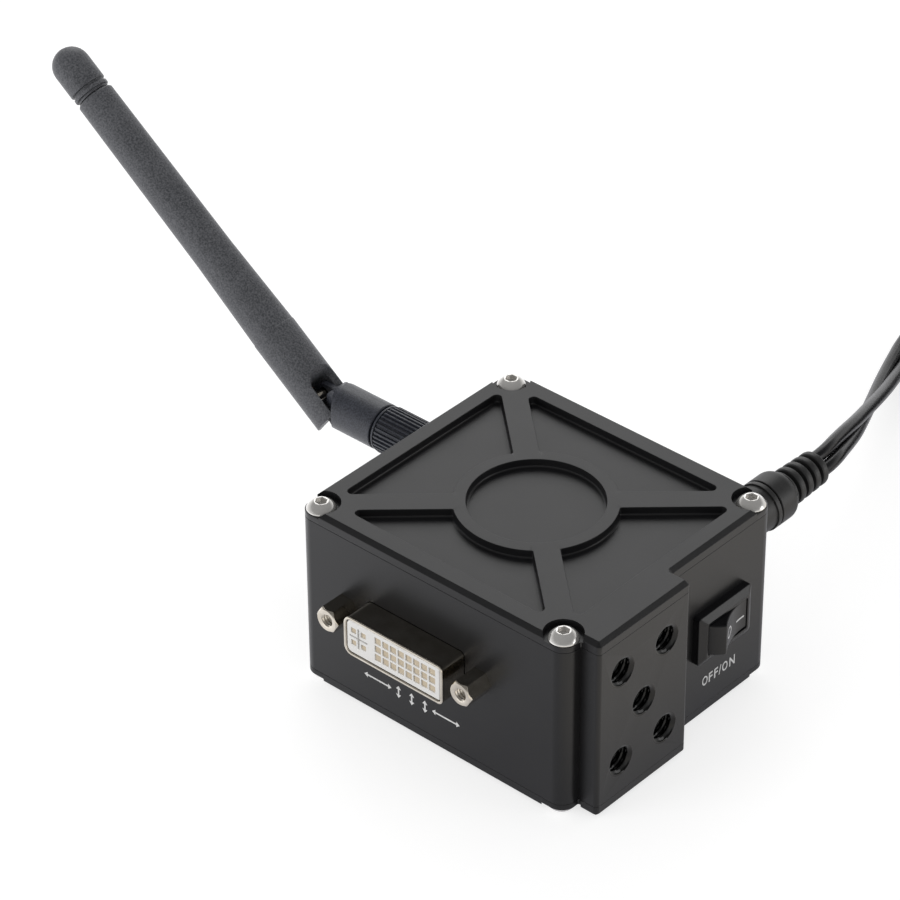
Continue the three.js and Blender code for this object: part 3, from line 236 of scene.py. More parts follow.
class Finish(Network):
    """A material round one Principled shader."""

    def __init__(self, name, **fixed):
        self.material = bpy.data.materials.new(name)
        super().__init__(self.material)
        self.shader = self.tree.nodes["Principled BSDF"]
        self.place = self.node("ShaderNodeTexCoord", output="Object")
        for socket, value in fixed.items():
            self.set(socket, value)

    def set(self, socket, value):
        """Gives one of the shader's sockets a number, a colour or a link."""
        self.join(self.shader.inputs[socket.replace("_", " ")], value)

    def noise(self, size, detail):
        """Cloudy noise from 0 to 1 whose spots are about size millimetres across."""
        sockets = {"Vector": self.place, "Scale": 1 / (size * MM), "Detail": detail, "Roughness": 0.5}
        return self.node("ShaderNodeTexNoise", {}, sockets)

    def ramp(self, value, low, high):
        """0 below low, 1 above high and straight between them."""
        return self.node("ShaderNodeValToRGB", {"stops": ((low, 0), (high, 1))}, {"Fac": value})

    def blend(self, share, first, second):
        """The first colour where share is 0, and the second where it is 1."""
        sockets = {"Factor": share, 6: first, 7: second}
        return self.node("ShaderNodeMix", {"data_type": "RGBA"}, sockets, output=2)

    def bump(self, height, depth):
        """Raises the surface by depth millimetres where height is 1."""
        sockets = {"Height": height, "Distance": depth * MM, "Strength": 1.0}
        self.set("Normal", self.node("ShaderNodeBump", {}, sockets))


# %% [markdown]
# No real surface has one even colour. Anodising, plating and moulding all leave soft patches and fine grain,
# so each finish below runs between two colours and two roughnesses, and its grain also raises the surface a
# little. An image could hold this, but noise in the object's own space needs no unwrapping.

# %% The finishes
PATCH_RANGE, SPECK_RANGE = (0.3, 0.7), (0.35, 0.65)
PATCH_DETAIL, GRAIN_DETAIL = 4, 2


def clouded(name, dark, light, rough, grain, depth, patch=8, speckle=0.2, **fixed):
    """The colour runs from dark to light in patches and, by the share speckle, in specks of grain size."""
    made = Finish(name, **fixed)
    broad = made.noise(patch, PATCH_DETAIL)
    fine = made.noise(grain, GRAIN_DETAIL)
    share = made.ramp(broad, *PATCH_RANGE) * (1 - speckle) + made.ramp(fine, *SPECK_RANGE) * speckle
    made.set("Base Color", made.blend(share, dark, light))
    made.set("Roughness", (broad * 0.5 + fine * 0.5) * (rough[1] - rough[0]) + rough[0])
    made.bump(fine, depth)
    return made


def grey(level):
    """A colour with the same red, green and blue."""
    return (level, level, level)


anodised = clouded("black_anodised", (0.008, 0.008, 0.009), (0.012, 0.012, 0.0125), (0.26, 0.42), 0.2, 0.012,
                   speckle=0.5, Specular_IOR_Level=0.36)
# The threads' colour is darker than the anodising: painted shade for the inside of the holes.
thread_painted_shade = clouded("thread_painted_shade", grey(0.0025), grey(0.004), (0.1, 0.2), 0.2, 0.004,
                       speckle=0.5, Specular_IOR_Level=0.3)
stainless = clouded("stainless_screw", (0.66, 0.645, 0.62), (0.78, 0.765, 0.74), (0.1, 0.22), 0.3, 0.002,
                    Metallic=0.7)
nickel = clouded("warm_nickel", (0.56, 0.51, 0.43), (0.74, 0.69, 0.61), (0.08, 0.22), 0.4, 0.006, 3,
                 Metallic=1.0)
gold = clouded("dull_gold_plate", (0.6, 0.5, 0.36), (0.72, 0.62, 0.47), (0.4, 0.6), 0.2, 0.004, 2,
               Metallic=0.1)
brass = clouded("yellow_brass", (0.5, 0.33, 0.12), (0.66, 0.46, 0.2), (0.2, 0.36), 0.25, 0.002, 3,
                Metallic=1.0)
copper = clouded("dull_copper", (0.2, 0.09, 0.055), (0.34, 0.17, 0.11), (0.6, 0.75), 0.3, 0.01, 2,
                 Metallic=0.2)
insulator_white = clouded("white_insulator", (0.92, 0.91, 0.89), (0.95, 0.94, 0.92), (0.35, 0.5), 0.2, 0.004,
                          4)
white_print = clouded("white_print", grey(0.82), grey(0.9), (0.4, 0.55), 0.1, 0.004)
switch_plastic = clouded("switch_moulding", (0.007, 0.007, 0.008), (0.01, 0.01, 0.0115), (0.24, 0.4), 0.16,
                         0.01, Specular_IOR_Level=0.34)
plug_rubber = clouded("plug_moulding", grey(0.015), grey(0.028), (0.38, 0.55), 0.24, 0.02, speckle=0.5)
webbing = clouded("strap_webbing", (0.01, 0.01, 0.011), (0.024, 0.024, 0.026), (0.7, 0.85), 0.45, 0.12, 3,
                  speckle=0.8)
jacket = clouded("lead_jacket", (0.005, 0.005, 0.006), (0.008, 0.008, 0.009), (0.2, 0.34), 0.8, 0.01,
                 Specular_IOR_Level=0.28)
red_jacket = clouded("red_insulation", (0.3, 0.012, 0.01), (0.42, 0.02, 0.015), (0.25, 0.4), 0.4, 0.01)
antenna_plastic = clouded("antenna_moulding", (0.016, 0.018, 0.024), (0.056, 0.06, 0.076), (0.3, 0.5), 0.3,
                          0.06, speckle=0.8)
# The mast's moulding is lighter than the elbow's; the extra lightness is painted sheen.
mast_painted_sheen = clouded("mast_sheen_moulding", (0.042, 0.044, 0.05), (0.134, 0.137, 0.149), (0.34, 0.6), 0.34, 0.07,
                       speckle=0.8)
board_mask = clouded("board_mask", (0.01, 0.07, 0.03), (0.02, 0.11, 0.05), (0.25, 0.4), 0.6, 0.01)
chip_plastic = clouded("chip_moulding", grey(0.012), grey(0.02), (0.5, 0.65), 0.15, 0.01)
print("finishes:", len(bpy.data.materials))

# %% [markdown]
# The solids that come from the CAD file are loose triangles, so they would render faceted. A small modifier
# network joins their corners and shades each surface smoothly, while edges steeper than a limit stay crisp.
# It leaves the mesh itself alone.

# %% Smoothing the CAD solids
SMOOTH_LIMIT = math.radians(35)


def smoothing():
    """A modifier network: merge the points, shade smooth, then keep edges steeper than the limit sharp."""
    group = bpy.data.node_groups.new("smooth the solids", "GeometryNodeTree")
    for way in ("INPUT", "OUTPUT"):
        group.interface.new_socket("Geometry", in_out=way, socket_type="NodeSocketGeometry")
    start, end, merge, faces, edges, angle, below = (group.nodes.new(kind) for kind in (
        "NodeGroupInput", "NodeGroupOutput", "GeometryNodeMergeByDistance", "GeometryNodeSetShadeSmooth",
        "GeometryNodeSetShadeSmooth", "GeometryNodeInputMeshEdgeAngle", "FunctionNodeCompare"))
    merge.inputs["Distance"].default_value = SLIVER * MM
    faces.domain, edges.domain = "FACE", "EDGE"
    below.data_type, below.operation = "FLOAT", "LESS_THAN"
    below.inputs[1].default_value = SMOOTH_LIMIT
    chain = (start, merge, faces, edges, end)
    for before, after in (*zip(chain, chain[1:]), (angle, below)):
        group.links.new(before.outputs[0], after.inputs[0])
    group.links.new(below.outputs[0], edges.inputs["Shade Smooth"])
    return group


# %% The finish of each CAD solid
NODE_FINISH = {
    anodised: ["case_frame", "top_cover", "bottom_cover", "mounting_block", "mounting_block_clamp"],
    stainless: [f"{cover}_cover_screw_{i}" for cover in ("top", "bottom") for i in (1, 2, 3, 4)]
    + [f"board_screw_{i}" for i in (1, 2, 3, 4)] + [f"mounting_block_screw_{i}" for i in (1, 2)],
    nickel: ["output_shell", "output_jackscrew_left", "output_jackscrew_right", "power_socket_pin",
             "power_socket_nut", "power_plug_sleeve", "supply_plug_barrel", "antenna_jack_washer",
             "antenna_hinge_pin", "radio_shield"],
    insulator_white: ["output_insulator"],
    brass: ["output_contacts", "switch_contact_arm", "switch_terminal_1", "switch_terminal_2", "antenna_jack",
            "antenna_jack_nut", "antenna_plug_core"],
    switch_plastic: ["switch_housing", "switch_rocker", "power_socket"],
    plug_rubber: ["power_plug_body", "power_plug_strain_relief", "supply_plug_body"],
    webbing: ["lead_tie"],
    jacket: ["power_lead", "power_lead_coil", "antenna_pigtail", "power_wire_black"],
    antenna_plastic: ["antenna_coupling_nut", "antenna_elbow"],
    mast_painted_sheen: ["antenna_mast", "antenna_tip_cap"],
    copper: ["antenna_coax", "antenna_radiator"],
    board_mask: ["main_board", "radio_module"],
    chip_plastic: ["processor_chip", "capacitor_1", "capacitor_2"],
    red_jacket: ["power_wire_red"],
}
smoother = smoothing()
for finish, names in NODE_FINISH.items():
    for name in names:
        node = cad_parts[name]
        node.data.materials.clear()
        node.data.materials.append(finish.material)
        node.modifiers.new("smooth", "NODES").node_group = smoother
print("finished CAD nodes:", sum(len(names) for names in NODE_FINISH.values()))

# %% [markdown]
# Nearly every edge of a made thing is a little round, and that is what catches the light. So outlines and
# profiles are written as corners with a radius each, and the helpers turn a corner into an arc, carry a
# profile round an outline, or turn one about an axis. Modelling with a Bevel modifier would also round the
# edges, but only by one width for the whole piece.

# %% Outlines and profiles
ROUND_POINTS = 48


def rounded(corners, steps=6, closed=True):
    """Each corner (x, y, radius) becomes an arc that touches both its sides, a radius from its centre."""
    corners = [(*corner, 0.0)[:3] for corner in corners]
    points = []
    for i, (x, y, radius) in enumerate(corners):
        here = np.array([x, y])
        if radius == 0 or (not closed and i in (0, len(corners) - 1)):
            points.append(here[None])
            continue
        before, after = np.array(corners[i - 1][:2]), np.array(corners[(i + 1) % len(corners)][:2])
        arriving = (here - before) / np.linalg.norm(here - before)
        leaving = (after - here) / np.linalg.norm(after - here)
        turn = math.atan2(arriving[0] * leaving[1] - arriving[1] * leaving[0], arriving @ leaving)
        left = np.array([-arriving[1], arriving[0]]) * math.copysign(radius, turn)
        centre = here - arriving * radius * math.tan(abs(turn) / 2) + left
        angle = along(steps + 1, 0, turn)[:, None]
        points.append(centre - left * np.cos(angle) - np.array([-left[1], left[0]]) * np.sin(angle))
    return np.concatenate(points)


def soft(*corners, steps=5):
    """An open profile with rounded corners."""
    return rounded(corners, steps, closed=False)


def box_outline(width, height, radius, x=0.0, y=0.0, steps=6):
    """A rectangle with equal round corners, anticlockwise from its lower left."""
    a, b = width / 2, height / 2
    corners = [(x - a, y - b), (x + a, y - b), (x + a, y + b), (x - a, y + b)]
    return rounded([(*corner, radius) for corner in corners], steps)


def outward(points):
    """At each point of an anticlockwise outline, the shift that moves both its sides outwards by one."""
    sides = np.roll(points, -1, axis=0) - points
    sides /= np.linalg.norm(sides, axis=1)[:, None]
    after = np.stack([sides[:, 1], -sides[:, 0]], axis=1)
    before = np.roll(after, 1, axis=0)
    return (after + before) / (1 + np.sum(after * before, axis=1))[:, None]


def carried(points, profile):
    """A profile of (outwards, height) pairs carried round an outline: a row of the table for each pair."""
    profile = np.asarray(profile, float)
    flat = points + outward(points) * profile[:, None, :1]
    return np.concatenate([flat, np.broadcast_to(profile[:, None, 1:], (*flat.shape[:2], 1))], axis=2)


def lifted(points, height):
    """A flat outline as points in space."""
    return np.concatenate([points, np.full((len(points), 1), float(height))], axis=1)


# %% Arcs and turned surfaces
def arc(x, y, radius, start, end, count):
    """Points on a circle from one angle to another, in degrees."""
    angle = np.radians(along(count, start, end))
    return np.stack([x + radius * np.cos(angle), y + radius * np.sin(angle)], axis=1)


def ring(x, y, radius, count):
    """A whole circle as an outline, with its first point named once."""
    return arc(x, y, radius, 0, 360, count + 1)[:-1]


def circle(count=ROUND_POINTS):
    """The angles of that many points round a circle."""
    return along(count + 1, 0, 2 * np.pi)[:-1]


def turned(radius, height, count=ROUND_POINTS):
    """Points at a height and a radius, which may change with the angle: x and y are its cosine and sine."""
    angle = circle(count)
    radius, height = np.broadcast_arrays(radius, height, np.zeros((1, count)))[:2]
    return np.stack([radius * np.cos(angle), radius * np.sin(angle), height], axis=2)


def pole(height, count=ROUND_POINTS):
    """A row whose points all meet on the axis, which closes a turned surface."""
    return turned(np.zeros((1, count)), height, count)


def spun(profile, count=ROUND_POINTS):
    """A profile of (radius, height) pairs turned about the z axis."""
    profile = np.asarray(profile, float)
    return turned(profile[:, :1], profile[:, 1:], count)


def hexagon(across_flats, count=ROUND_POINTS):
    """A hexagon's reach at each angle: half its width over the cosine of the angle from the nearest flat."""
    return across_flats / 2 / np.cos((circle(count) % (np.pi / 3)) - np.pi / 6)


# %% [markdown]
# Each cover is a milled aluminium plate. A round seat is cut into each corner for a screw, and it breaks
# out through both walls, so the plate has two outlines: the whole one below the seats, and one with four
# round bites above them. Both are sampled with the same number of points, so the steps between them become
# faces by themselves. The upper outline draws in at the top, which makes the chamfer.

# %% The covers' outlines
HALF_W, HALF_D, HEIGHT = 32.5, 29.75, 40.0
COVER = 2.5
CORNER = 3.0
SCREW_INSET = 3.05
SEAT_RADIUS, SEAT_DEPTH = 3.75, 1.3
LUG_X, LUG_LOW, LUG_HIGH, LUG_ROUND = 36.8, -25.6, 0.05, 0.9
INNER_ROUND = 0.15
BITE_POINTS, LUG_POINTS, INNER_POINTS, SMOOTH_STEPS = 28, 8, 5, 12
CORNERS = ((-1, -1), (1, -1), (1, 1), (-1, 1))
SCREWS = [(sx * (HALF_W - SCREW_INSET), sy * (HALF_D - SCREW_INSET)) for sx, sy in CORNERS]
LUG_QUARTER = 1


def run_along(points):
    """The way from a path's start to each of its points: the sum of the steps so far."""
    return np.concatenate([[0], np.cumsum(np.linalg.norm(np.diff(points, axis=0), axis=1))])


def evenly(points, count):
    """The same path with points evenly spaced along it."""
    run = run_along(points)
    return np.stack([np.interp(along(count, 0, run[-1]), run, axis) for axis in points.T], axis=1)


def lug_outline(inset):
    """The lug over the mounting block: two round corners and the inner corner where it meets the wall."""
    edge = LUG_ROUND - inset
    return np.concatenate([
        arc(LUG_X - LUG_ROUND, LUG_LOW + LUG_ROUND, edge, -90, 0, LUG_POINTS),
        arc(LUG_X - LUG_ROUND, LUG_HIGH - LUG_ROUND, edge, 0, 90, LUG_POINTS),
        arc(HALF_W + INNER_ROUND, LUG_HIGH + INNER_ROUND, INNER_ROUND + inset, 270, 180, INNER_POINTS),
    ])


def bitten(inset):
    """The plate's outline above the seats, drawn in by inset, with a bite out of each corner."""
    reach = math.degrees(math.acos((SCREW_INSET - inset) / SEAT_RADIUS))
    lug_reach = math.degrees(math.asin((LUG_LOW + inset - SCREWS[LUG_QUARTER][1]) / SEAT_RADIUS))
    parts = []
    for quarter, (x, y) in enumerate(SCREWS):
        end = (lug_reach if quarter == LUG_QUARTER else reach) - 90
        parts.append(arc(x, y, SEAT_RADIUS, 180 - reach + 90 * quarter, end + 90 * quarter, BITE_POINTS))
        if quarter == LUG_QUARTER:
            parts.append(lug_outline(inset))
    return np.concatenate(parts)


def whole(inset):
    """The plate's outline below the seats: from each bite's start, round the corner, to the bite's end."""
    shift = math.sqrt(SEAT_RADIUS**2 - SCREW_INSET**2)
    lug_x = SCREWS[LUG_QUARTER][0] + math.sqrt(SEAT_RADIUS**2 - (LUG_LOW - SCREWS[LUG_QUARTER][1]) ** 2)
    parts = []
    for quarter, (sx, sy) in enumerate(CORNERS):
        on_side = (sx * HALF_W, sy * (HALF_D - SCREW_INSET) - sy * shift)
        on_end = (sx * (HALF_W - SCREW_INSET) - sx * shift, sy * HALF_D)
        first, last = (on_side, on_end) if quarter % 2 == 0 else (on_end, on_side)
        path = [first, (sx * HALF_W, sy * HALF_D, CORNER), last]
        if quarter == LUG_QUARTER:
            path = [first, (HALF_W, -HALF_D, CORNER), (HALF_W, LUG_LOW, INNER_ROUND), (lug_x, LUG_LOW)]
        parts.append(evenly(rounded(path, SMOOTH_STEPS, closed=False), BITE_POINTS))
        if quarter == LUG_QUARTER:
            parts.append(lug_outline(0.0))
    points = np.concatenate(parts)
    return points - outward(points) * inset


print("points in a cover's outline:", len(whole(0.0)), "and", len(bitten(0.0)))

# %% [markdown]
# Four pockets are milled into the top cover, and leave four ribs and a ring. A milling cutter is round, so
# the pockets' corners are arcs, and the wall meets the floor in a small fillet.

# %% The top cover's pockets
POCKET_X, POCKET_Y, POCKET_DEPTH = 28.5, 25.4, 1.7
RIB, RING_OUT, RING_IN = 5.0, 15.6, 13.07
RING_ARC_POINTS, RING_POINTS = 26, 96
CUTTER_ROUND, RING_CORNER = 1.0, 0.45
FLOOR_FILLET, LIP = 0.35, 0.1
RIB_ANGLE = math.atan2(HALF_D - SCREW_INSET, HALF_W - SCREW_INSET)


def pocket(edge, rib_angle, quarter):
    """A pocket between two ribs: two tips on the far edge and the ring's arc, turned by quarters."""
    half_rib = RIB / 2
    tip = (edge * math.sin(rib_angle) - half_rib) / math.cos(rib_angle)
    inner = math.degrees(rib_angle - math.asin(half_rib / RING_OUT))
    first, *middle, last = arc(0, 0, RING_OUT, inner, -inner, RING_ARC_POINTS).tolist()
    points = rounded([(edge, -tip, CUTTER_ROUND), (edge, tip, CUTTER_ROUND), (*first, RING_CORNER), *middle,
                      (*last, RING_CORNER)], 8)
    cosine, sine = [(1, 0), (0, 1), (-1, 0), (0, -1)][quarter]
    return points @ np.array([[cosine, sine], [-sine, cosine]])


pockets = [pocket(POCKET_X, RIB_ANGLE, 0), pocket(POCKET_Y, math.pi / 2 - RIB_ANGLE, 1),
           pocket(POCKET_X, RIB_ANGLE, 2), pocket(POCKET_Y, math.pi / 2 - RIB_ANGLE, 3),
           ring(0, 0, RING_IN, RING_POINTS)]

# %% The two covers
CHAMFER, CHAMFER_LOW, CHAMFER_HIGH = 0.85, 0.2, 0.12
SEAM = 0.12
RIM = 0.08


def cover(pockets):
    """A plate in its upright place; the heights are mirrored afterwards for the cover underneath."""
    plate = Shape()
    seat, floor = HEIGHT - SEAT_DEPTH, HEIGHT - POCKET_DEPTH
    skirt = soft((SEAM * 2, HEIGHT - COVER), (0, HEIGHT - COVER, SEAM), (0, seat), steps=3)
    edge = soft((0, seat), (0, HEIGHT - CHAMFER, CHAMFER_LOW), (CHAMFER, HEIGHT, CHAMFER_HIGH),
                (CHAMFER + RIM, HEIGHT), steps=4)
    rows = [lifted(whole(inset), height) for inset, height in skirt]
    rows += [lifted(bitten(inset), height) for inset, height in edge]
    plate.grid(np.stack(rows))
    plate.fill(rows[0])
    mouths = []
    for loop in pockets:
        wall = carried(loop, soft((LIP, HEIGHT), (0, HEIGHT, LIP), (0, floor, FLOOR_FILLET),
                                  (-FLOOR_FILLET - 0.05, floor), steps=4))
        plate.grid(wall)
        plate.fill(wall[-1])
        mouths.append(wall[0])
    plate.fill(rows[-1], *mouths)
    return plate


cover(pockets).make("top_plate", "root", anodised, "case_anodised", "top_cover")
under = cover([])
for points in under.points:
    points[:, 2] = HEIGHT - points[:, 2]
under.make("bottom_plate", "root", anodised, "case_anodised", "bottom_cover")

# %% [markdown]
# Button head screws hold the covers. The head is a low dome with a flat round its hexagon socket. A turned
# profile gives the dome, and in the rows of the socket the radius changes with the angle instead.

# %% Button head screws
HEAD_RADIUS, HEAD_HEIGHT, HEAD_EDGE, HEAD_FLAT = 2.88, 1.65, 0.18, 1.38
DOME_RADIUS = 3.4
HEX_FLATS, HEX_DEPTH, HEX_POINT = 2.05, 1.0, 0.25
HEX_LEAD, LEAD_DEPTH = 1.06, 0.08
SHANK_RADIUS, SHANK_LENGTH = 1.4, 8.5


def button_screw(x, y, base, up):
    """The dome is part of a ball: its height goes as the root of ball radius squared less radius squared."""
    reach = along(12, HEAD_RADIUS, HEAD_FLAT)
    ball = np.sqrt(DOME_RADIUS**2 - reach**2)
    share = (ball - ball[0]) / (ball[-1] - ball[0])
    dome = np.stack([reach, HEAD_EDGE + (HEAD_HEIGHT - HEAD_EDGE) * share], axis=1)
    shank = [(0, -SHANK_LENGTH), (SHANK_RADIUS, -SHANK_LENGTH), (SHANK_RADIUS, 0)]
    edge = soft((SHANK_RADIUS, 0), (HEAD_RADIUS, 0, 0.1), (HEAD_RADIUS, HEAD_EDGE))
    hexagonal = hexagon(HEX_FLATS)[None]
    screw = Shape(Side((x, y, base), (1, 0, 0), (0, up, 0), (0, 0, up)))
    screw.grid(np.concatenate([
        spun(np.concatenate([shank, edge[1:], dome[1:]])), turned(hexagonal * HEX_LEAD, HEAD_HEIGHT),
        turned(hexagonal, HEAD_HEIGHT - LEAD_DEPTH), turned(hexagonal, HEAD_HEIGHT - HEX_DEPTH),
        pole(HEAD_HEIGHT - HEX_DEPTH - HEX_POINT)]))
    return screw


for i, (x, y) in enumerate(SCREWS, 1):
    for place, base, up in (("top", HEIGHT - SEAT_DEPTH, 1), ("bottom", SEAT_DEPTH, -1)):
        button_screw(x, y, base, up).make(
            f"{place}_screw_{i}", "root", stainless, "screw_stainless", f"{place}_cover_screw_{i}")

# %% [markdown]
# The frame between the covers is a ring of four walls. They have openings for what is fitted in them, so each
# flat wall is a fill with holes, drawn in that wall's own frame, and the round corners are carried surfaces.

# %% The case frame
SOCKET_X, SOCKET_Z = -3.575, 21.9
SWITCH_Y, SWITCH_Z = 14.2, 20.0
POWER_X, POWER_Z = 19.1, 24.0
ANTENNA_Y, ANTENNA_Z = 9.2, 30.0
FRONT = Side((SOCKET_X, -HALF_D, SOCKET_Z), (1, 0, 0), (0, 0, 1), (0, -1, 0))
RIGHT = Side((HALF_W, SWITCH_Y, SWITCH_Z), (0, 1, 0), (0, 0, 1), (1, 0, 0))
BACK = Side((POWER_X, HALF_D, POWER_Z), (-1, 0, 0), (0, 0, 1), (0, 1, 0))
LEFT = Side((-HALF_W, ANTENNA_Y, ANTENNA_Z), (0, -1, 0), (0, 0, 1), (-1, 0, 0))
WALL, GAP = 2.5, 0.12
CORNER_STEPS = 8
SHELL_OUTLINE = rounded([(-12.1, -4.3, 1.8), (12.1, -4.3, 1.0), (12.1, 4.3, 1.0), (-12.1, 4.3, 1.8)], 8)
JACKS = {"left": -17.03, "right": 15.97}
# A round hole is its radius and its number of points. A square one is its width, height and corner.
JACK_HOLE, POWER_HOLE, ANTENNA_HOLE = (1.7, 24), (4.2, 48), (3.4, 36)
SWITCH_HOLE, BLOCK_HOLE = (15.0, 9.0, 0.3), (20.6, 28.7, 0.3)
BLOCK_CENTRE = -12.775
wall_holes = {
    FRONT: [SHELL_OUTLINE + outward(SHELL_OUTLINE) * GAP,
            *[ring(x, 0, *JACK_HOLE) for x in JACKS.values()]],
    RIGHT: [box_outline(*SWITCH_HOLE), box_outline(*BLOCK_HOLE, BLOCK_CENTRE - SWITCH_Y)],
    BACK: [ring(0, 0, *POWER_HOLE)],
    LEFT: [ring(0, 0, *ANTENNA_HOLE)],
}
low, high = COVER + SEAM, HEIGHT - COVER - SEAM
walls = Shape()
outer = box_outline(2 * HALF_W, 2 * HALF_D, CORNER, steps=CORNER_STEPS)
for height, way in ((HEIGHT - COVER, 1), (COVER, -1)):
    walls.grid(carried(outer, soft((-WALL, height), (0, height, SEAM), (0, height - way * SEAM), steps=3)))
for inset in (0.0, WALL):
    upright = carried(outer, [(-inset, low), (-inset, high)])
    for first in range(0, len(outer), CORNER_STEPS + 1):
        walls.grid(upright[:, first:first + CORNER_STEPS + 1], around=False)
for bottom, top in ((COVER, low), (high, HEIGHT - COVER)):
    walls.grid(carried(outer, [(-WALL, bottom), (-WALL, top)]))
for side, holes in wall_holes.items():
    reach = HALF_W - CORNER if side in (FRONT, BACK) else HALF_D - CORNER
    shift = side.origin @ side.axes[0]
    level = side.origin[2]
    flat = np.array([(-reach - shift, low - level), (reach - shift, low - level),
                     (reach - shift, high - level), (-reach - shift, high - level)])
    wall = Shape(side)
    for depth in (0.0, -WALL):
        wall.fill(lifted(flat, depth), *[lifted(hole, depth) for hole in holes])
    for hole in holes:
        wall.grid(np.stack([lifted(hole, 0.0), lifted(hole, -WALL)]))
    walls.join(wall)
walls.make("case_walls", "root", anodised, "case_anodised", "case_frame")

# %% [markdown]
# The mounting block stands against the right wall between the covers. A camera thread is cut into each of its
# five holes. The thread is one surface: its radius rises and falls once per pitch, and the wave moves on by
# one pitch for each turn, which makes a helix without sweeping anything.

# %% The block's threads
CAMERA_THREAD = (2.55, 3.175, 1.27)
HOLE_MOUTH, HOLE_FLOOR = 3.3, 0.4
HOLE_X, HOLE_Z = 6.2, 10.25
ROWS_PER_TURN, MOUTH_SLOPE = 10, 3
FLANK, CREST = 1.4, 0.2


def threaded(x, y, thread, mouth, top, floor):
    """A tapped hole: the larger of a short cone at the mouth and a helix between the thread's two radii."""
    minor, major, pitch = thread
    depth = along(int((top - floor) / pitch * ROWS_PER_TURN), 0, top - floor)[:, None]
    wave = np.abs(((depth / pitch + circle() / (2 * np.pi)) % 1) * 2 - 1)
    helix = minor + (major - minor) * np.clip(wave * FLANK - CREST, 0, 1)
    surface = turned(np.maximum(helix, mouth - depth * MOUTH_SLOPE), top - depth)
    return np.concatenate([surface, pole(floor)]) + (x, y, 0)


# %% [markdown]
# The block's outline is seen from above and carried from its bottom to its top, but the last cell of the
# table, which is the block's whole face, is left out and filled round the mouths of the holes.

# %% The mounting block
BLOCK_X, BLOCK_BACK, BLOCK_REACH, BLOCK_WIDTH, BLOCK_HIGH = 30, 2.4, 6.8, 25.65, 35.0
TUCK = 0.3
BLOCK = Side((BLOCK_X, BLOCK_CENTRE, HEIGHT / 2), (0, 1, 0), (1, 0, 0), (0, 0, 1))
BLOCK_FACE = Side(BLOCK.origin, (0, 1, 0), (0, 0, 1), (1, 0, 0))
half, top = BLOCK_WIDTH / 2, BLOCK_HIGH / 2
outline = rounded([(-half, BLOCK_BACK), (half, BLOCK_BACK), (half, BLOCK_REACH, LUG_ROUND),
                   (-half, BLOCK_REACH, LUG_ROUND)], CORNER_STEPS)
outline = np.roll(outline, CORNER_STEPS + 1, axis=0)
rows = carried(outline, soft((-TUCK, -top), (0, -top, SEAM), (0, top, SEAM), (-TUCK, top), steps=3))
middle = len(rows) // 2
block = Shape(BLOCK)
block.grid(rows[:middle])
block.grid(rows[middle:])
block.grid(rows[middle - 1:middle + 1], around=False)
block.fill(rows[0])
block.fill(rows[-1])
corners = rows[[middle - 1, middle - 1, middle, middle], [-1, 0, 0, -1]]
face = Shape(BLOCK_FACE)
holes = [threaded(x, z, CAMERA_THREAD, HOLE_MOUTH, BLOCK_REACH, HOLE_FLOOR)
         for x, z in [(0, 0)] + [(sx * HOLE_X, sz * HOLE_Z) for sx, sz in CORNERS]]
face.fill(corners[:, [0, 2, 1]], *[hole[0] for hole in holes])
for hole in holes:
    face.grid(hole)
block.join(face)
block = block.make("block_body", "root", anodised, "case_anodised", "mounting_block")

# %% [markdown]
# The taps leave the threads smooth, so they are glossier than the block, and their colour is darker: painted
# shade, for the dark inside of each hole. One mesh can have two finishes: each face holds the number of its
# own one.

# %% The threads' own finish
FACE_SKIN, INSIDE_X, INSIDE_Z = 0.05, 12, 17
faces = block.data.polygons
centres = np.empty(len(faces) * 3)
faces.foreach_get("center", centres)
x, z, reach = ((centres.reshape(-1, 3) / MM - BLOCK_FACE.origin) @ BLOCK_FACE.axes.T).T
in_hole = (reach < BLOCK_REACH - FACE_SKIN) & (np.abs(x) < INSIDE_X) & (np.abs(z) < INSIDE_Z)
# The faces inside the holes take the darker finish, which is painted shade.
block.data.materials.append(thread_painted_shade.material)
faces.foreach_set("material_index", in_hole.astype(np.int32))
print("faces of the threads:", int(in_hole.sum()))

# %% [markdown]
# The output socket is a metal shell round a white insulator with 28 wells and a cross slot, and a gilt
# contact shows in each well. Each well is a small square hole in the flat front, so the front is filled
# round them, as the cover's is.

# %% The output socket's shell
SHELL_REACH, SHELL_SHEET, SHELL_FOOT = 6.2, 0.5, -3.3
SHELL_FLARE, FLARE_LENGTH, FLARE_ROUND, SHELL_EDGE = 0.1, 0.9, 0.5, 0.24
shell = Shape(FRONT)
section = rounded([(0, SHELL_FOOT), (0, SHELL_REACH - FLARE_LENGTH, FLARE_ROUND),
                   (SHELL_FLARE, SHELL_REACH, SHELL_EDGE), (-SHELL_SHEET, SHELL_REACH, SHELL_EDGE),
                   (-SHELL_SHEET, SHELL_FOOT)], 5)
shell.grid(carried(SHELL_OUTLINE, section), closed=True)
shell.make("socket_shell", "root", nickel, "connector_nickel", "output_shell")

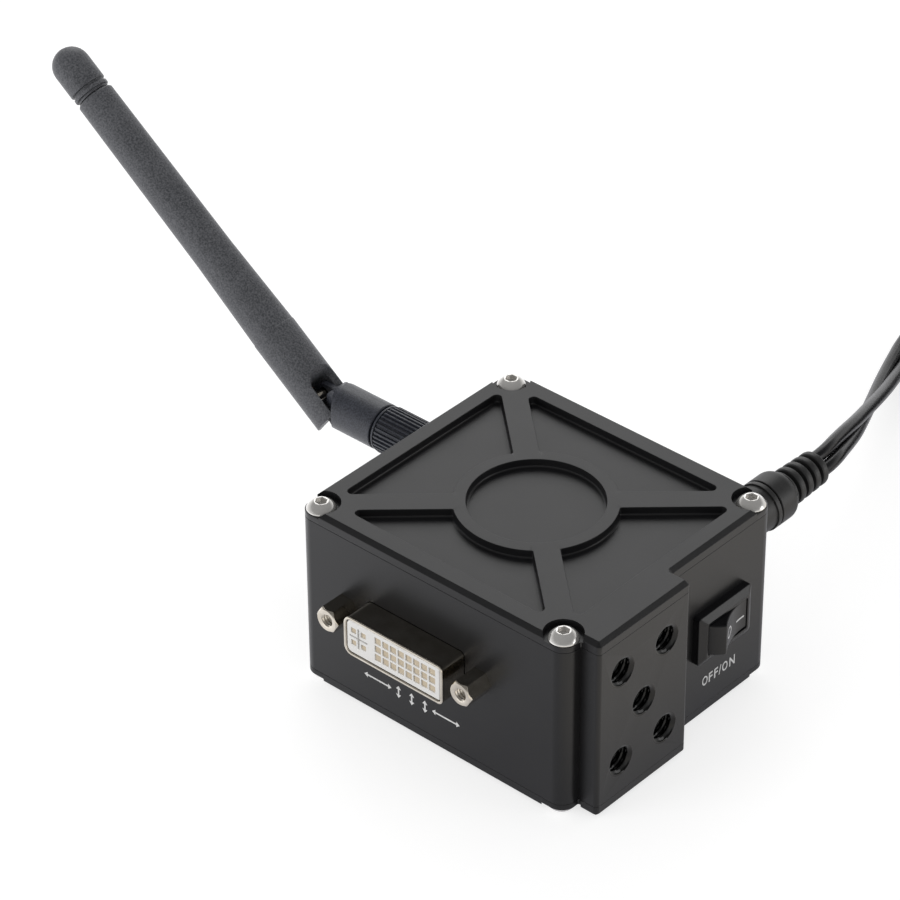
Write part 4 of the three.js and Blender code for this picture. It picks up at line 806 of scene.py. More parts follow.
# %% The insulator and its contacts
INSULATOR_FOOT, INSULATOR_FRONT, INSULATOR_INSET, INSULATOR_ROUND = -3.6, 6.02, 0.66, 0.25
WELL, CORNER_WELL, WELL_PITCH, FIRST_WELL = 1.5, 1.2, 1.905, -3.735
WELL_ROUND, WELL_DEPTH, WELL_LEAD, LEAD_DROP = 0.1, 0.42, 0.05, 0.08
CORNER_WELL_X, CORNER_WELL_Y = 1.22, 1.38
CROSS_X, CROSS_Y, CROSS_DEEPER = -8.55, 0.2, 1.6
CROSS_LINE, CROSS_REACH_X, CROSS_REACH_Y = 0.19, 2.2, 2.3
PLATE_PROFILE = ((-0.06, 0.02), (-0.06, 0.16), (-0.12, 0.2))
places = [(WELL, FIRST_WELL + column * WELL_PITCH, CROSS_Y + row * WELL_PITCH)
          for column in range(8) for row in (-1, 0, 1)]
places += [(CORNER_WELL, CROSS_X + sx * CORNER_WELL_X, CROSS_Y + sy * CORNER_WELL_Y) for sx, sy in CORNERS]
loops = [box_outline(size, size, WELL_ROUND, x, y, 3) for size, x, y in places]
a, b, c = CROSS_LINE, CROSS_REACH_X, CROSS_REACH_Y
right_half = [(a, -c), (a, -a), (b, -a), (b, a), (a, a), (a, c)]
cross = np.array(right_half + [(-x, -y) for x, y in right_half])
insulator = Shape(FRONT)
rows = carried(SHELL_OUTLINE, soft(
    (-INSULATOR_INSET, INSULATOR_FOOT), (-INSULATOR_INSET, INSULATOR_FRONT, INSULATOR_ROUND),
    (-INSULATOR_INSET - 0.3, INSULATOR_FRONT)))
insulator.grid(rows)
insulator.fill(rows[0])
well_floor = INSULATOR_FRONT - WELL_DEPTH
cuts = [(loop, well_floor) for loop in loops] + [(cross + (CROSS_X, CROSS_Y), well_floor - CROSS_DEEPER)]
mouths = []
for loop, floor in cuts:
    well = carried(loop, [(WELL_LEAD, INSULATOR_FRONT), (0, INSULATOR_FRONT - LEAD_DROP), (0, floor)])
    insulator.grid(well)
    insulator.fill(well[-1])
    mouths.append(well[0])
insulator.fill(rows[-1], *mouths)
insulator.make("socket_insulator", "root", insulator_white, "insulator_white", "output_insulator")
plates = Shape(FRONT)
for loop in loops:
    plates.solid(carried(loop, [(shift, well_floor + lift) for shift, lift in PLATE_PROFILE]))
plates.make("contact_plates", "root", gold, "contact_brass")

# %% [markdown]
# A hexagon jackscrew stands on each side of the shell. Its corners are turned off at the front, so its reach
# at each angle is the smaller of a hexagon's and a cone's, and the tapped hole continues the same surface.

# %% The jackscrews
JACK_THREAD = (1.15, 1.4, 0.635)
JACK_MOUTH, JACK_FLOOR = 1.72, 1.2
JACK_LENGTH, JACK_FLATS = 5.6, 4.76
CONE_LENGTH, CONE_INSET, CONE_SLOPE = 0.75, 0.12, 1.1
for name, x in JACKS.items():
    heights = np.concatenate([[0.0], along(12, JACK_LENGTH - CONE_LENGTH, JACK_LENGTH)])[:, None]
    cone = JACK_FLATS / 2 - CONE_INSET + (JACK_LENGTH - heights) * CONE_SLOPE
    radius = np.minimum(hexagon(JACK_FLATS)[None], cone)
    radius[0] = hexagon(JACK_FLATS)
    screw = Shape(Side(FRONT.place([x, 0, 0]), *FRONT.axes))
    screw.grid(np.concatenate([pole(0.0), turned(radius, heights),
                               threaded(0, 0, JACK_THREAD, JACK_MOUTH, JACK_LENGTH, JACK_FLOOR)]))
    screw.make(f"jackscrew_{name}", "root", nickel, "connector_nickel", f"output_jackscrew_{name}")

# %% [markdown]
# The rocker switch has a bezel with sloping sides and a rocker with a hollow back, tipped to its off side.
# The rocker is an outline with round corners carried across its width. Its two marks, a ring and a bar, are
# printed on the hollow, so each follows the hollow's circle a few hundredths of a millimetre above it.

# %% The switch's bezel
BEZEL_LENGTH, BEZEL_HEIGHT, BEZEL_TOP = 15.4, 11.0, 2.3
SLOPE_START, SLOPE_WIDTH, SLOPE_EDGE, BEZEL_RIM = 1.45, 1.5, 0.25, 1.72
WINDOW_LENGTH, WINDOW_HEIGHT, WINDOW_DEPTH, WINDOW_EDGE = 11.4, 7.0, 4.0, 0.12
slope = soft((0, 0), (0, SLOPE_START, SLOPE_EDGE), (SLOPE_WIDTH, BEZEL_TOP, SLOPE_EDGE),
             (BEZEL_RIM, BEZEL_TOP), steps=4)
rows = [lifted(box_outline(BEZEL_LENGTH - 2 * inset, BEZEL_HEIGHT - 2 * inset, 0.75 - 0.25 * inset), height)
        for inset, height in slope]
window = carried(box_outline(WINDOW_LENGTH, WINDOW_HEIGHT, 0.3),
                 soft((WINDOW_EDGE, BEZEL_TOP), (0, BEZEL_TOP, WINDOW_EDGE), (0, -WINDOW_DEPTH)))
bezel = Shape(RIGHT)
bezel.grid(np.stack(rows))
bezel.fill(rows[0])
bezel.fill(rows[-1], window[0])
bezel.grid(window)
bezel.fill(window[-1])
bezel.make("switch_bezel", "root", switch_plastic, "switch_black", "switch_housing")

# %% The rocker
ROCKER_RADIUS, ROCKER_WIDTH, ROCKER_ROUND, PIVOT_DEPTH = 6.35, 6.76, 0.3, 0.7
DISH_RADIUS, DISH_CENTRE = 13.1, 16.5
RIDGE_X, RIDGE_Z, RIDGE_ROUND = 4.698, 4.271, 0.1
RIDGE_TRIM, DISH_TRIM, SKIRT_Z = 1.6, 0.8, -1.2
SIDE_POINTS, DISH_POINTS = 12, 24
TILT = math.radians(16)
sine, cosine = math.sin(TILT), math.cos(TILT)
ROCKER = Side(RIGHT.place([0, 0, -PIVOT_DEPTH]), (-sine, cosine, 0), (cosine, sine, 0), (0, 0, 1))
ridge = math.degrees(math.atan2(RIDGE_Z, RIDGE_X)) - RIDGE_TRIM
skirt = math.degrees(math.asin(SKIRT_Z / ROCKER_RADIUS))
lean = math.degrees(math.asin(RIDGE_X / DISH_RADIUS)) - DISH_TRIM
path = np.concatenate([
    arc(0, 0, ROCKER_RADIUS, skirt, ridge, SIDE_POINTS),
    arc(0, DISH_CENTRE, DISH_RADIUS, -90 + lean, -90 - lean, DISH_POINTS),
    arc(0, 0, ROCKER_RADIUS, 180 - ridge, 180 - skirt, SIDE_POINTS),
])
dish_ends = (SIDE_POINTS - 1, SIDE_POINTS, SIDE_POINTS + DISH_POINTS - 1, SIDE_POINTS + DISH_POINTS)
corners = [(*point, RIDGE_ROUND if i in dish_ends else 0.0) for i, point in enumerate(path.tolist())]
half = ROCKER_WIDTH / 2
width = soft((-0.5, -half), (0, -half, ROCKER_ROUND), (0, half, ROCKER_ROUND), (-0.5, half))
rocker = Shape(ROCKER)
rocker.solid(carried(rounded(corners, 3), width))
rocker.make("rocker_cap", "rocker", switch_plastic, "switch_black", "switch_rocker")

# %% The rocker's marks
INK, SUNK = 0.03, -0.05
RING_X, MARK_Y, RING_OUTER, RING_INNER = -1.9, -0.3, 1.25, 0.95
BAR_X, BAR_Y, BAR_REACH, BAR_HALF = 2.75, -0.35, 1.2, 0.18


def on_dish(x, across, rise):
    """Points on the hollow: its height is its centre's less the root of its radius squared less x squared."""
    x, across, rise = np.broadcast_arrays(x, across, rise)
    return np.stack([x, DISH_CENTRE - np.sqrt(DISH_RADIUS**2 - x**2) + rise, across], axis=-1)


def printed_section(first, last):
    """A line of ink cut across, from one side to the other: the places across and the heights."""
    return np.array([(first, SUNK), (first, INK), (last, INK), (last, SUNK)]).T


off_ring = Shape(ROCKER)
radius, rise = printed_section(RING_OUTER, RING_INNER)[..., None]
x, across = RING_X + radius * np.cos(circle()), MARK_Y + radius * np.sin(circle())
off_ring.grid(on_dish(x, across, rise), closed=True)
off_ring.make("mark_off", "rocker", white_print, "switch_black")
on_bar = Shape(ROCKER)
across, rise = printed_section(-BAR_HALF, BAR_HALF)
rows = on_dish(BAR_X + along(12, -BAR_REACH, BAR_REACH)[:, None], across + BAR_Y, rise)
on_bar.grid(rows)
for end in (rows[0], rows[-1]):
    on_bar.add(end, [[0, 1, 2, 3]])
on_bar.make("mark_on", "rocker", white_print, "switch_black")

# %% [markdown]
# A short word is printed under the switch, and a row of plain arrows under the output socket. The word comes
# from a text object with Blender's own font, made a mesh before it is put in place. The arrows are flat
# outlines with a few hundredths of a millimetre of thickness, like ink.

# %% The word under the switch
UNDER, WORD_BASE, CAPITAL = -0.01, -12.9, 2.15
FONT_DEPTH, FONT_BOLD, FONT_STEPS = 0.01, 0.014, 4
LETTERS = (("O", -4.3, -2.7), ("F", -2.35, -1.25), ("F", -0.75, 0.35), ("/", 0.6, 1.35), ("O", 1.65, 3.25),
           ("N", 3.8, 5.4))


def final_mesh(made):
    """The mesh of an object with its modifiers carried out."""
    bpy.context.view_layer.update()
    return bpy.data.meshes.new_from_object(made.evaluated_get(bpy.context.evaluated_depsgraph_get()))


def from_mesh(mesh):
    """A shape with the points of a mesh, which is given up."""
    points = np.empty(len(mesh.vertices) * 3)
    mesh.vertices.foreach_get("co", points)
    taken = Shape()
    taken.points, taken.faces = [points.reshape(-1, 3)], [list(face.vertices) for face in mesh.polygons]
    taken.count = len(mesh.vertices)
    bpy.data.meshes.remove(mesh)
    return taken


def letter(character, start, end):
    """One character as a shape on the right wall, stretched from its start to its end."""
    curve = bpy.data.curves.new("letter", "FONT")
    curve.body, curve.resolution_u, curve.extrude, curve.offset = character, FONT_STEPS, FONT_DEPTH, FONT_BOLD
    drawn = bpy.data.objects.new("letter", curve)
    scene.collection.objects.link(drawn)
    shape = from_mesh(final_mesh(drawn))
    bpy.data.objects.remove(drawn)
    low, high = shape.points[0].min(axis=0), shape.points[0].max(axis=0)
    x, y, z = ((shape.points[0] - low) / (high - low)).T
    flat = np.stack([start + x * (end - start), WORD_BASE + y * CAPITAL, UNDER + z * (INK - UNDER)], axis=1)
    shape.points = [RIGHT.place(flat)]
    return shape


word = Shape()
for character, start, end in LETTERS:
    word.join(letter(character, start, end))
word.make("word_off_on", "root", white_print, "case_anodised")

# %% The arrows under the socket
ARROW_LINE, ARROW_HEAD, HEAD_LENGTH, ARROW_BASE = 0.17, 0.62, 1.3, -13.45
LONG_REACH, LONG_PLACES = 3.4, (-9.5, 7.5)
SHORT_REACH, SHORT_PLACES = 1.4, (-4.3, -1.0, 2.3)


def arrow(reach, x, upright=False):
    """A line with a head at both ends. One end is the other turned half round."""
    neck = reach - ARROW_HEAD * HEAD_LENGTH
    end = np.array([(neck, -ARROW_LINE), (neck, -ARROW_HEAD), (reach, 0), (neck, ARROW_HEAD),
                    (neck, ARROW_LINE)])
    points = np.concatenate([end, -end])
    return (points[:, ::-1] * (-1, 1) if upright else points) + (x, ARROW_BASE)


arrows = Shape(FRONT)
for outline in ([arrow(LONG_REACH, x) for x in LONG_PLACES]
                + [arrow(SHORT_REACH, x, upright=True) for x in SHORT_PLACES]):
    arrows.solid(np.stack([lifted(outline, UNDER), lifted(outline, INK)]))
arrows.make("socket_arrows", "root", white_print, "case_anodised")

# %% [markdown]
# The power plug and its strain relief are turned shapes. The relief bends with the lead because slots are cut
# round it, and in each ring of slots two bridges hold it together. The radius of the turned surface drops in
# a slot and stays full at a bridge, so the slots need no carving. The plug on the lead's far end has one too.

# %% The power plug
PLUG_COUNT = 64
PLUG_PROFILE = ((0, 2.5), (4.75, 2.5, 0.3), (4.75, 13.05, 0.1), (5.1, 13.05, 0.15), (5.1, 14.15, 0.15),
                (4.5, 14.15, 0.08), (4.5, 14.5, 0.08), (5.1, 14.5, 0.2), (5.1, 20.4, 2.3), (0, 20.4))
plug = Shape(BACK)
plug.grid(spun(soft(*PLUG_PROFILE, steps=8), PLUG_COUNT))
plug.make("plug_body", "root", plug_rubber, "lead_black", "power_plug_body")

# %% The strain relief
RELIEF_START, RELIEF_END, RELIEF_WIDE, RELIEF_NARROW = 19.6, 30.55, 3.95, 3.6
RIBS, RIB_SHARE, SLOT_DEPTH, END_DISH = 4, 0.6, 1.3, 0.3
BRIDGES = np.radians((263, 3))
BRIDGE_SLOPE, BRIDGE_WIDTH = 9, 3
RIB_EDGE = ((0, 0.2), (0.15, 0.05), (0.35, 0))
SLOT_GAP, SLOT_DROPS = 0.03, (0.2, 0.25)


def slotted_relief(side, start, end, wide, narrow):
    """Ribs from a wide to a narrow radius. The radius drops in a slot, save at angles close to a bridge."""
    pitch = (end - start) / (RIBS + 0.5)
    rib_height = pitch * RIB_SHARE
    rib_rows = [(up, drop, 0) for up, drop in RIB_EDGE]
    rib_rows += [(rib_height - up, drop, 0) for up, drop in RIB_EDGE[::-1]]
    slot_rows = [(rib_height + SLOT_GAP, SLOT_DROPS[0], 1), (pitch - SLOT_GAP, SLOT_DROPS[1], 1)]
    levels = np.array([(start + (rib - 0.5) * pitch + pitch * (1 - RIB_SHARE) + up,
                        wide + (narrow - wide) * rib / RIBS - drop, slotted)
                       for rib in range(RIBS + 1) for up, drop, slotted in rib_rows + slot_rows][:-2])
    turned_away = np.abs(np.angle(np.exp(1j * (circle(PLUG_COUNT)[:, None] - BRIDGES)))).min(axis=1)
    bridge = np.clip(BRIDGE_WIDTH - turned_away * BRIDGE_SLOPE, 0, 1)
    height, radius, slotted = levels.T[..., None]
    relief = Shape(side)
    relief.grid(np.concatenate([
        pole(height[0], PLUG_COUNT), turned(radius - SLOT_DEPTH * slotted * (1 - bridge), height, PLUG_COUNT),
        pole(height[-1] - END_DISH, PLUG_COUNT)]))
    return relief


relief = slotted_relief(BACK, RELIEF_START, RELIEF_END, RELIEF_WIDE, RELIEF_NARROW)
relief.make("strain_relief", "root", plug_rubber, "lead_black", "power_plug_strain_relief")

# %% [markdown]
# The antenna screws on with a knurled nut. Its straight grooves are one wave round the nut, so the radius
# changes with the angle in the knurled rows and is even in the others.

# %% The antenna's nut
RIDGES, RIDGE_POINTS = 34, 12
NUT_START, NUT_END, NUT_RADIUS, GROOVE, BAND = 3.6, 13.9, 4.85, 0.55, 0.8
RIDGE_LEVEL, RIDGE_SWING = 0.62, 1.5
count = RIDGES * RIDGE_POINTS
wave = np.clip(RIDGE_LEVEL - RIDGE_SWING * np.cos(circle(count) * RIDGES), 0, 1)
knurl_end, waist, band = NUT_END - BAND, NUT_RADIUS - GROOVE - 0.05, NUT_RADIUS - 0.18
height, radius, knurled = np.array([
    (NUT_START, 3.9, 0), (NUT_START, NUT_RADIUS - 0.35, 0), (NUT_START + 0.25, NUT_RADIUS - 0.12, 0.6),
    (NUT_START + 0.5, NUT_RADIUS, 1), (knurl_end - 0.3, NUT_RADIUS, 1),
    (knurl_end - 0.1, NUT_RADIUS - 0.1, 0.6), (knurl_end, waist, 0), (knurl_end + 0.15, waist, 0),
    (knurl_end + 0.2, band, 0), (NUT_END - 0.25, band, 0), (NUT_END, NUT_RADIUS - 0.4, 0),
    (NUT_END, 2.6, 0), (NUT_START + 1, 3.6, 0), (NUT_START, 3.9, 0)]).T[..., None]
nut = Shape(LEFT)
nut.grid(turned(radius - GROOVE * knurled * wave, height, count))
nut.make("knurled_nut", "antenna_nut", antenna_plastic, "antenna_grey", "antenna_coupling_nut")

# %% [markdown]
# The elbow and the mast meet in a hinge: a flat tongue between two cheeks. Such solids are easiest to carve,
# as on a lathe and a mill: a turned blank, and tools that take away or leave what they share with it. The
# Boolean modifier does that, and a Bevel modifier breaks the edges that it leaves.

# %% Lathe and mill
EDGE_BREAK, EDGE_LIMIT = 0.14, math.radians(38)
LATHE_COUNT, HALF_COUNT, HOLE_COUNT = 72, 49, 24


def lathe(side, profile):
    """A closed profile turned about the z axis of a frame."""
    blank = Shape(side)
    blank.grid(spun(profile, LATHE_COUNT))
    return blank


def prism(side, *levels):
    """A solid between flat outlines, given as (outline, height) pairs from one end to the other."""
    tool = Shape(side)
    tool.solid(np.stack([lifted(outline, height) for outline, height in levels]))
    return tool


def straight(side, outline, low, high):
    """A prism that keeps its outline from its lower to its higher end."""
    return prism(side, (outline, low), (outline, high))


def carved(blank, shared, *taken):
    """What the blank shares with the first tool, less the other tools, with its edges broken."""
    objects = []
    for shape in (blank, shared, *taken):
        objects.append(bpy.data.objects.new("tool", shape.weld("tool")))
        scene.collection.objects.link(objects[-1])
    for tool, operation in zip(objects[1:], ["INTERSECT"] + ["DIFFERENCE"] * len(taken)):
        cut = objects[0].modifiers.new(operation, "BOOLEAN")
        cut.operation, cut.object, cut.solver = operation, tool, "EXACT"
    edges = objects[0].modifiers.new("edges", "BEVEL")
    edges.width, edges.segments = EDGE_BREAK * MM, 2
    edges.limit_method, edges.angle_limit = "ANGLE", EDGE_LIMIT
    result = from_mesh(final_mesh(objects[0]))
    for used in objects:
        bpy.data.objects.remove(used)
    result.points = [result.points[0] / MM]
    return result


def half_round(radius, top):
    """An outline with a half circle below and straight sides up to its top."""
    return np.concatenate([arc(0, 0, radius, 180, 360, HALF_COUNT), [(radius, top), (-radius, top)]])


# %% The antenna's elbow
BEND = math.radians(36.44)
PIVOT_REACH = 31.02
ELBOW_START, ELBOW_END, ELBOW_RADIUS, ELBOW_BORE, BORE_END = 14.2, 36, 4.7, 2.4, 17.2
TONGUE, TONGUE_ROUND, RECESS = 2.1, 2.1, 6.9
LAP_LEVEL, LAP_DEPTH, LAP_ROUND = -0.8, 3.5, 0.4
PIN_HOLE, PIN_REACH, FAR = 1.3, 4.3, 7.0
SHOULDER = ((FAR, -FAR * 3), (FAR, -5.9), (4.8, -5.9), (4.25, -5.0), (3.95, -4.45), (3.2, -3.8),
            (TONGUE_ROUND, -2.9))
sine, cosine = math.sin(BEND), math.cos(BEND)
MAST = Side(LEFT.place([0, 0, PIVOT_REACH]), (0, -1, 0), (sine, 0, cosine), (-cosine, 0, sine))
ELBOW_CROSS = Side(MAST.origin, LEFT.axes[1], LEFT.axes[2], LEFT.axes[0])
MAST_CROSS = Side(MAST.origin, MAST.axes[1], MAST.axes[2], MAST.axes[0])

socket_bore = [(0, BORE_END), (ELBOW_BORE, BORE_END), (ELBOW_BORE, ELBOW_START)]
outside = soft((ELBOW_BORE, ELBOW_START), (ELBOW_RADIUS, ELBOW_START, 0.3), (ELBOW_RADIUS, ELBOW_END),
               (0, ELBOW_END))
right = np.array(SHOULDER)
left = right[::-1] * (-1, 1)
tongue = np.concatenate([left[-1:], right, arc(0, 0, TONGUE_ROUND, 0, 180, 25), left[:-1]])
recess = half_round(RECESS, FAR)
lap = box_outline(2 * FAR, FAR + LAP_DEPTH, LAP_ROUND, 0, (FAR - LAP_DEPTH) / 2)
pin_hole = ring(0, 0, PIN_HOLE, HOLE_COUNT)
carved(lathe(LEFT, np.concatenate([socket_bore, outside[1:]])),
       straight(ELBOW_CROSS, tongue, -FAR, FAR),
       straight(ELBOW_CROSS, recess, TONGUE, FAR), straight(ELBOW_CROSS, recess, -FAR, -TONGUE),
       straight(ELBOW_CROSS, lap, LAP_LEVEL, FAR), straight(ELBOW_CROSS, pin_hole, -FAR, FAR),
       ).make("elbow", "antenna_swivel", antenna_plastic, "antenna_grey", "antenna_elbow")

# %% [markdown]
# The mast's slot is open below and behind, and widens towards the front, where its arch shows the cable.
# Its outline is given at four depths, and the tool is the solid between them.

# %% The antenna's mast
CHEEK, MAST_TOP = 6.6, 90
MAST_PROFILE = ((0, -5.2), (4.75, -5.2), (4.75, 15.5), (4.66, 15.6), (4.18, 35), (3.95, 74.3), (3.7, 74.6),
                (1.3, 74.6), (1.3, 12), (0, 12))
SLOT_LENGTH = 12
SLOT_LEVELS = ((-3.1, 2.4, 2.9, 1.3), (2.3, 2.4, 2.9, 1.3), (3.4, 3.3, 3.4, 2.0), (5.6, 5.5, 5.4, 3.0))
OPEN_HALF, OPEN_FOOT, OPEN_TOP = 2.4, -9, -2.4
COAX_X, COAX_HOLE, COAX_DEPTH = 1.3, 0.85, 11.3
SLOT_DOWN = Side(MAST.origin, MAST.axes[2], MAST.axes[0], MAST.axes[1])

cheeks = half_round(CHEEK, MAST_TOP)
slot = [(box_outline(top + SLOT_LENGTH, 2 * half_width, corner, (top - SLOT_LENGTH) / 2, 0), level)
        for level, half_width, top, corner in SLOT_LEVELS]
open_end = np.array([(-FAR, OPEN_FOOT), (0, OPEN_FOOT), (0, OPEN_TOP), (-FAR, OPEN_TOP)])
coax_hole = ring(COAX_X, 0, COAX_HOLE, HOLE_COUNT)
carved(lathe(MAST, MAST_PROFILE),
       straight(MAST_CROSS, cheeks, -FAR, FAR), prism(SLOT_DOWN, *slot),
       straight(MAST_CROSS, open_end, -OPEN_HALF, OPEN_HALF),
       straight(MAST_CROSS, pin_hole, -PIN_REACH, PIN_REACH), straight(MAST, coax_hole, 0, COAX_DEPTH),
       ).make("mast", "antenna_upper", mast_painted_sheen, "antenna_grey", "antenna_mast")

# %% The antenna's tip
CAP_RADIUS, CAP_TOP = 3.95, 86.2
CAP_FOOT = ((0, 74.9), (3.4, 74.9), (3.4, 75.4), (3.85, 75.4, 0.15), (3.85, 76.2, 0.15), (3.4, 76.2, 0.1),
            (3.4, 76.8, 0.1), (CAP_RADIUS, 76.8, 0.2), (CAP_RADIUS, 78.0))
angle = along(8, 0, np.pi / 2)
dome = np.stack([CAP_RADIUS * np.cos(angle), CAP_TOP - CAP_RADIUS + CAP_RADIUS * np.sin(angle)], axis=1)
cap = Shape(MAST)
cap.grid(spun(np.concatenate([soft(*CAP_FOOT), dome])))
cap.make("tip_cap", "antenna_upper", mast_painted_sheen, "antenna_grey", "antenna_tip_cap")

# %% [markdown]
# The power lead is two thin conductors that are sold twisted together. It leaves the plug straight, sinks to
# the table in a loose curve, and the length that the photograph doesn't show is put away in a tied coil.
# Its route repeats the CAD's points. A curve tool would draw one round cable, so the pair is worked out
# instead: two circles, each carried along the route while it turns round it.

# %% The route of the lead
GROUND = -0.35
LEAD_RADIUS, LEAD_EXIT_Y = 2.7, 60.3
ROUTE = (
    (18.9, 64, 23.9), (18.1, 67.5, 23.4), (16.9, 70.9, 22.5), (14.8, 76.6, 20.7), (12.2, 83.1, 18.4),
    (8.9, 90.4, 15.7), (5.5, 97.7, 13), (2, 105.1, 10.4), (-1.6, 112.7, 8), (-4.6, 119.1, 6),
    (-7.5, 125.5, 4.3), (-9.9, 131, 3.1), (-12.3, 138.8, 2.5), (-13.3, 147.1, 2.4), (-12.3, 155.4, 2.5),
    (-9.4, 163.3, 2.9),
)
COIL_CENTRE = np.array([25.58, 151.97])
COIL_RADIUS, COIL_PITCH, COIL_Z = 35.0, 5.9, 3.15
COIL_ENTRY = math.radians(140)
COIL_TURNS = 4 + 140 / 360
TAIL = ((4, 0), (8, 0), (13, 0.7), (18, 2.1), (23, 3.6), (28, 4.4), (33.4, 4.4))
TURN_POINTS, SPLINE_STEPS, LINE_POINTS = 24, 24, 1500


def coil_points(turns):
    """A flat spiral that winds in, climbs one layer over half a turn, and winds out again on top."""
    middle = turns - COIL_TURNS / 2
    radius = COIL_RADIUS - COIL_PITCH * (COIL_TURNS / 2 - np.abs(middle))
    angle = COIL_ENTRY - turns * 2 * np.pi
    share = np.clip(middle * 2 + 0.5, 0, 1)
    climb = share * share * (3 - 2 * share)
    x, y = COIL_CENTRE[0] + radius * np.cos(angle), COIL_CENTRE[1] + radius * np.sin(angle)
    return np.stack([x, y, COIL_Z + COIL_PITCH * climb], axis=1)


def smoothed(points):
    """The Catmull-Rom spline through the points, as points evenly spaced along it, and its length."""
    ends = np.concatenate([[2 * points[0] - points[1]], points, [2 * points[-1] - points[-2]]])
    before, here, after, beyond = ends[:-3, None], ends[1:-2, None], ends[2:-1, None], ends[3:, None]
    t = np.linspace(0, 1, SPLINE_STEPS, endpoint=False)[None, :, None]
    curve = 0.5 * (2 * here + (after - before) * t + (2 * before - 5 * here + 4 * after - beyond) * t**2
                   + (3 * here - before - 3 * after + beyond) * t**3)
    curve = np.concatenate([curve.reshape(-1, 3), points[-1:]])
    return evenly(curve, LINE_POINTS), run_along(curve)[-1]


coil = coil_points(along(int(COIL_TURNS * TURN_POINTS) + 1, 0, COIL_TURNS))
entry = coil[0] - 2 * LEAD_RADIUS * np.array([math.sin(COIL_ENTRY), -math.cos(COIL_ENTRY), 0])
tail = coil[-1] - np.array([[0, reach, drop] for reach, drop in TAIL])
route = np.array([(POWER_X, LEAD_EXIT_Y, POWER_Z), *ROUTE])
route[:, 2] = np.maximum(route[:, 2], GROUND + LEAD_RADIUS)
lead_line, lead_length = smoothed(np.concatenate([route, [entry], coil, tail]))
print("lead length, mm:", round(lead_length, 1))

# %% The twisted pair
STRAND, STRAND_SIDES = 1.36, 16
TWIST_PITCH = -165.0
TWIST_START = math.radians(148)


def twisted_pair(line, length):
    """Two tubes: each strand's centre turns about the line, and its circle is square to the line."""
    forward = np.gradient(line, axis=0)
    forward /= np.linalg.norm(forward, axis=1)[:, None]
    across = np.cross(forward, (0, 0, 1))
    across /= np.linalg.norm(across, axis=1)[:, None]
    upright = np.cross(across, forward)
    twist = TWIST_START + along(len(line), 0, length / TWIST_PITCH * 2 * np.pi)[:, None]
    pair = Shape()
    for start in (0, np.pi):
        x = STRAND * np.cos(twist + start) + STRAND * np.cos(circle(STRAND_SIDES))
        y = STRAND * np.sin(twist + start) + STRAND * np.sin(circle(STRAND_SIDES))
        tube = line[:, None] + x[..., None] * across[:, None] + y[..., None] * upright[:, None]
        pair.grid(tube)
        for end in (tube[0], tube[-1]):
            pair.add(end, [list(range(STRAND_SIDES))])
    return pair


lead = twisted_pair(lead_line, lead_length).make(
    "power_lead_pair", "root", jacket, "lead_black", "power_lead", "power_lead_coil")

# %% [markdown]
# A strap of hook and loop tape holds the coil's turns, and laps over itself on top, with its end a little
# loose. It is one flat section carried round the bundle. The supply plug on the lead's far end is moulded
# like the other one, with finger grooves round it.

# %% The coil's strap
STRAP, STRAP_WIDTH, STRAP_ROUND, STRAP_EDGE, LAP_GAP = 0.5, 7.0, 2.4, 0.14, 0.02
STRAP_INNER, STRAP_OUTER, STRAP_LOW, STRAP_HIGH = 21.7, 34.2, 0.15, 12.05
STRAP_STEPS, LAP_START, LAP_LIFT = 8, 5.0, ((27.6, 0), (26.4, 0.12), (25.2, 0.5))
STRAP_ANGLE = math.radians(250)
sine, cosine = math.sin(STRAP_ANGLE), math.cos(STRAP_ANGLE)
BUNDLE = Side((*COIL_CENTRE, 0), (cosine, sine, 0), (0, 0, 1), (sine, -cosine, 0))


def round_bundle(growth):
    """The bundle's outline with round corners, made larger on every side by growth."""
    width, height = STRAP_OUTER - STRAP_INNER + 2 * growth, STRAP_HIGH - STRAP_LOW + 2 * growth
    middle = (STRAP_OUTER + STRAP_INNER) / 2, (STRAP_HIGH + STRAP_LOW) / 2
    return box_outline(width, height, STRAP_ROUND + growth, *middle, steps=STRAP_STEPS)


def lap_line(growth):
    """The lap's path: up the outer side, over the corner and along the top, where it lifts at its end."""
    corner = round_bundle(growth)[2 * (STRAP_STEPS + 1):3 * (STRAP_STEPS + 1)]
    side, top = corner[0, 0], corner[-1, 1]
    return np.array([(side, LAP_START), *corner.tolist(), *[(x, top + lift) for x, lift in LAP_LIFT]])


half = STRAP_WIDTH / 2
strap = Shape(BUNDLE)
section = rounded([(0, -half), (STRAP, -half, STRAP_EDGE), (STRAP, half, STRAP_EDGE), (0, half)], 3)
strap.grid(carried(round_bundle(0), section), closed=True)
lap = np.concatenate([lap_line(2 * STRAP + LAP_GAP), lap_line(STRAP + LAP_GAP)[::-1]])
strap.solid(carried(lap, soft((-STRAP_EDGE, -half), (0, -half, STRAP_EDGE), (0, half, STRAP_EDGE),
                              (-STRAP_EDGE, half))))
strap = strap.make("lead_strap", "root", webbing, "lead_black", "lead_tie")

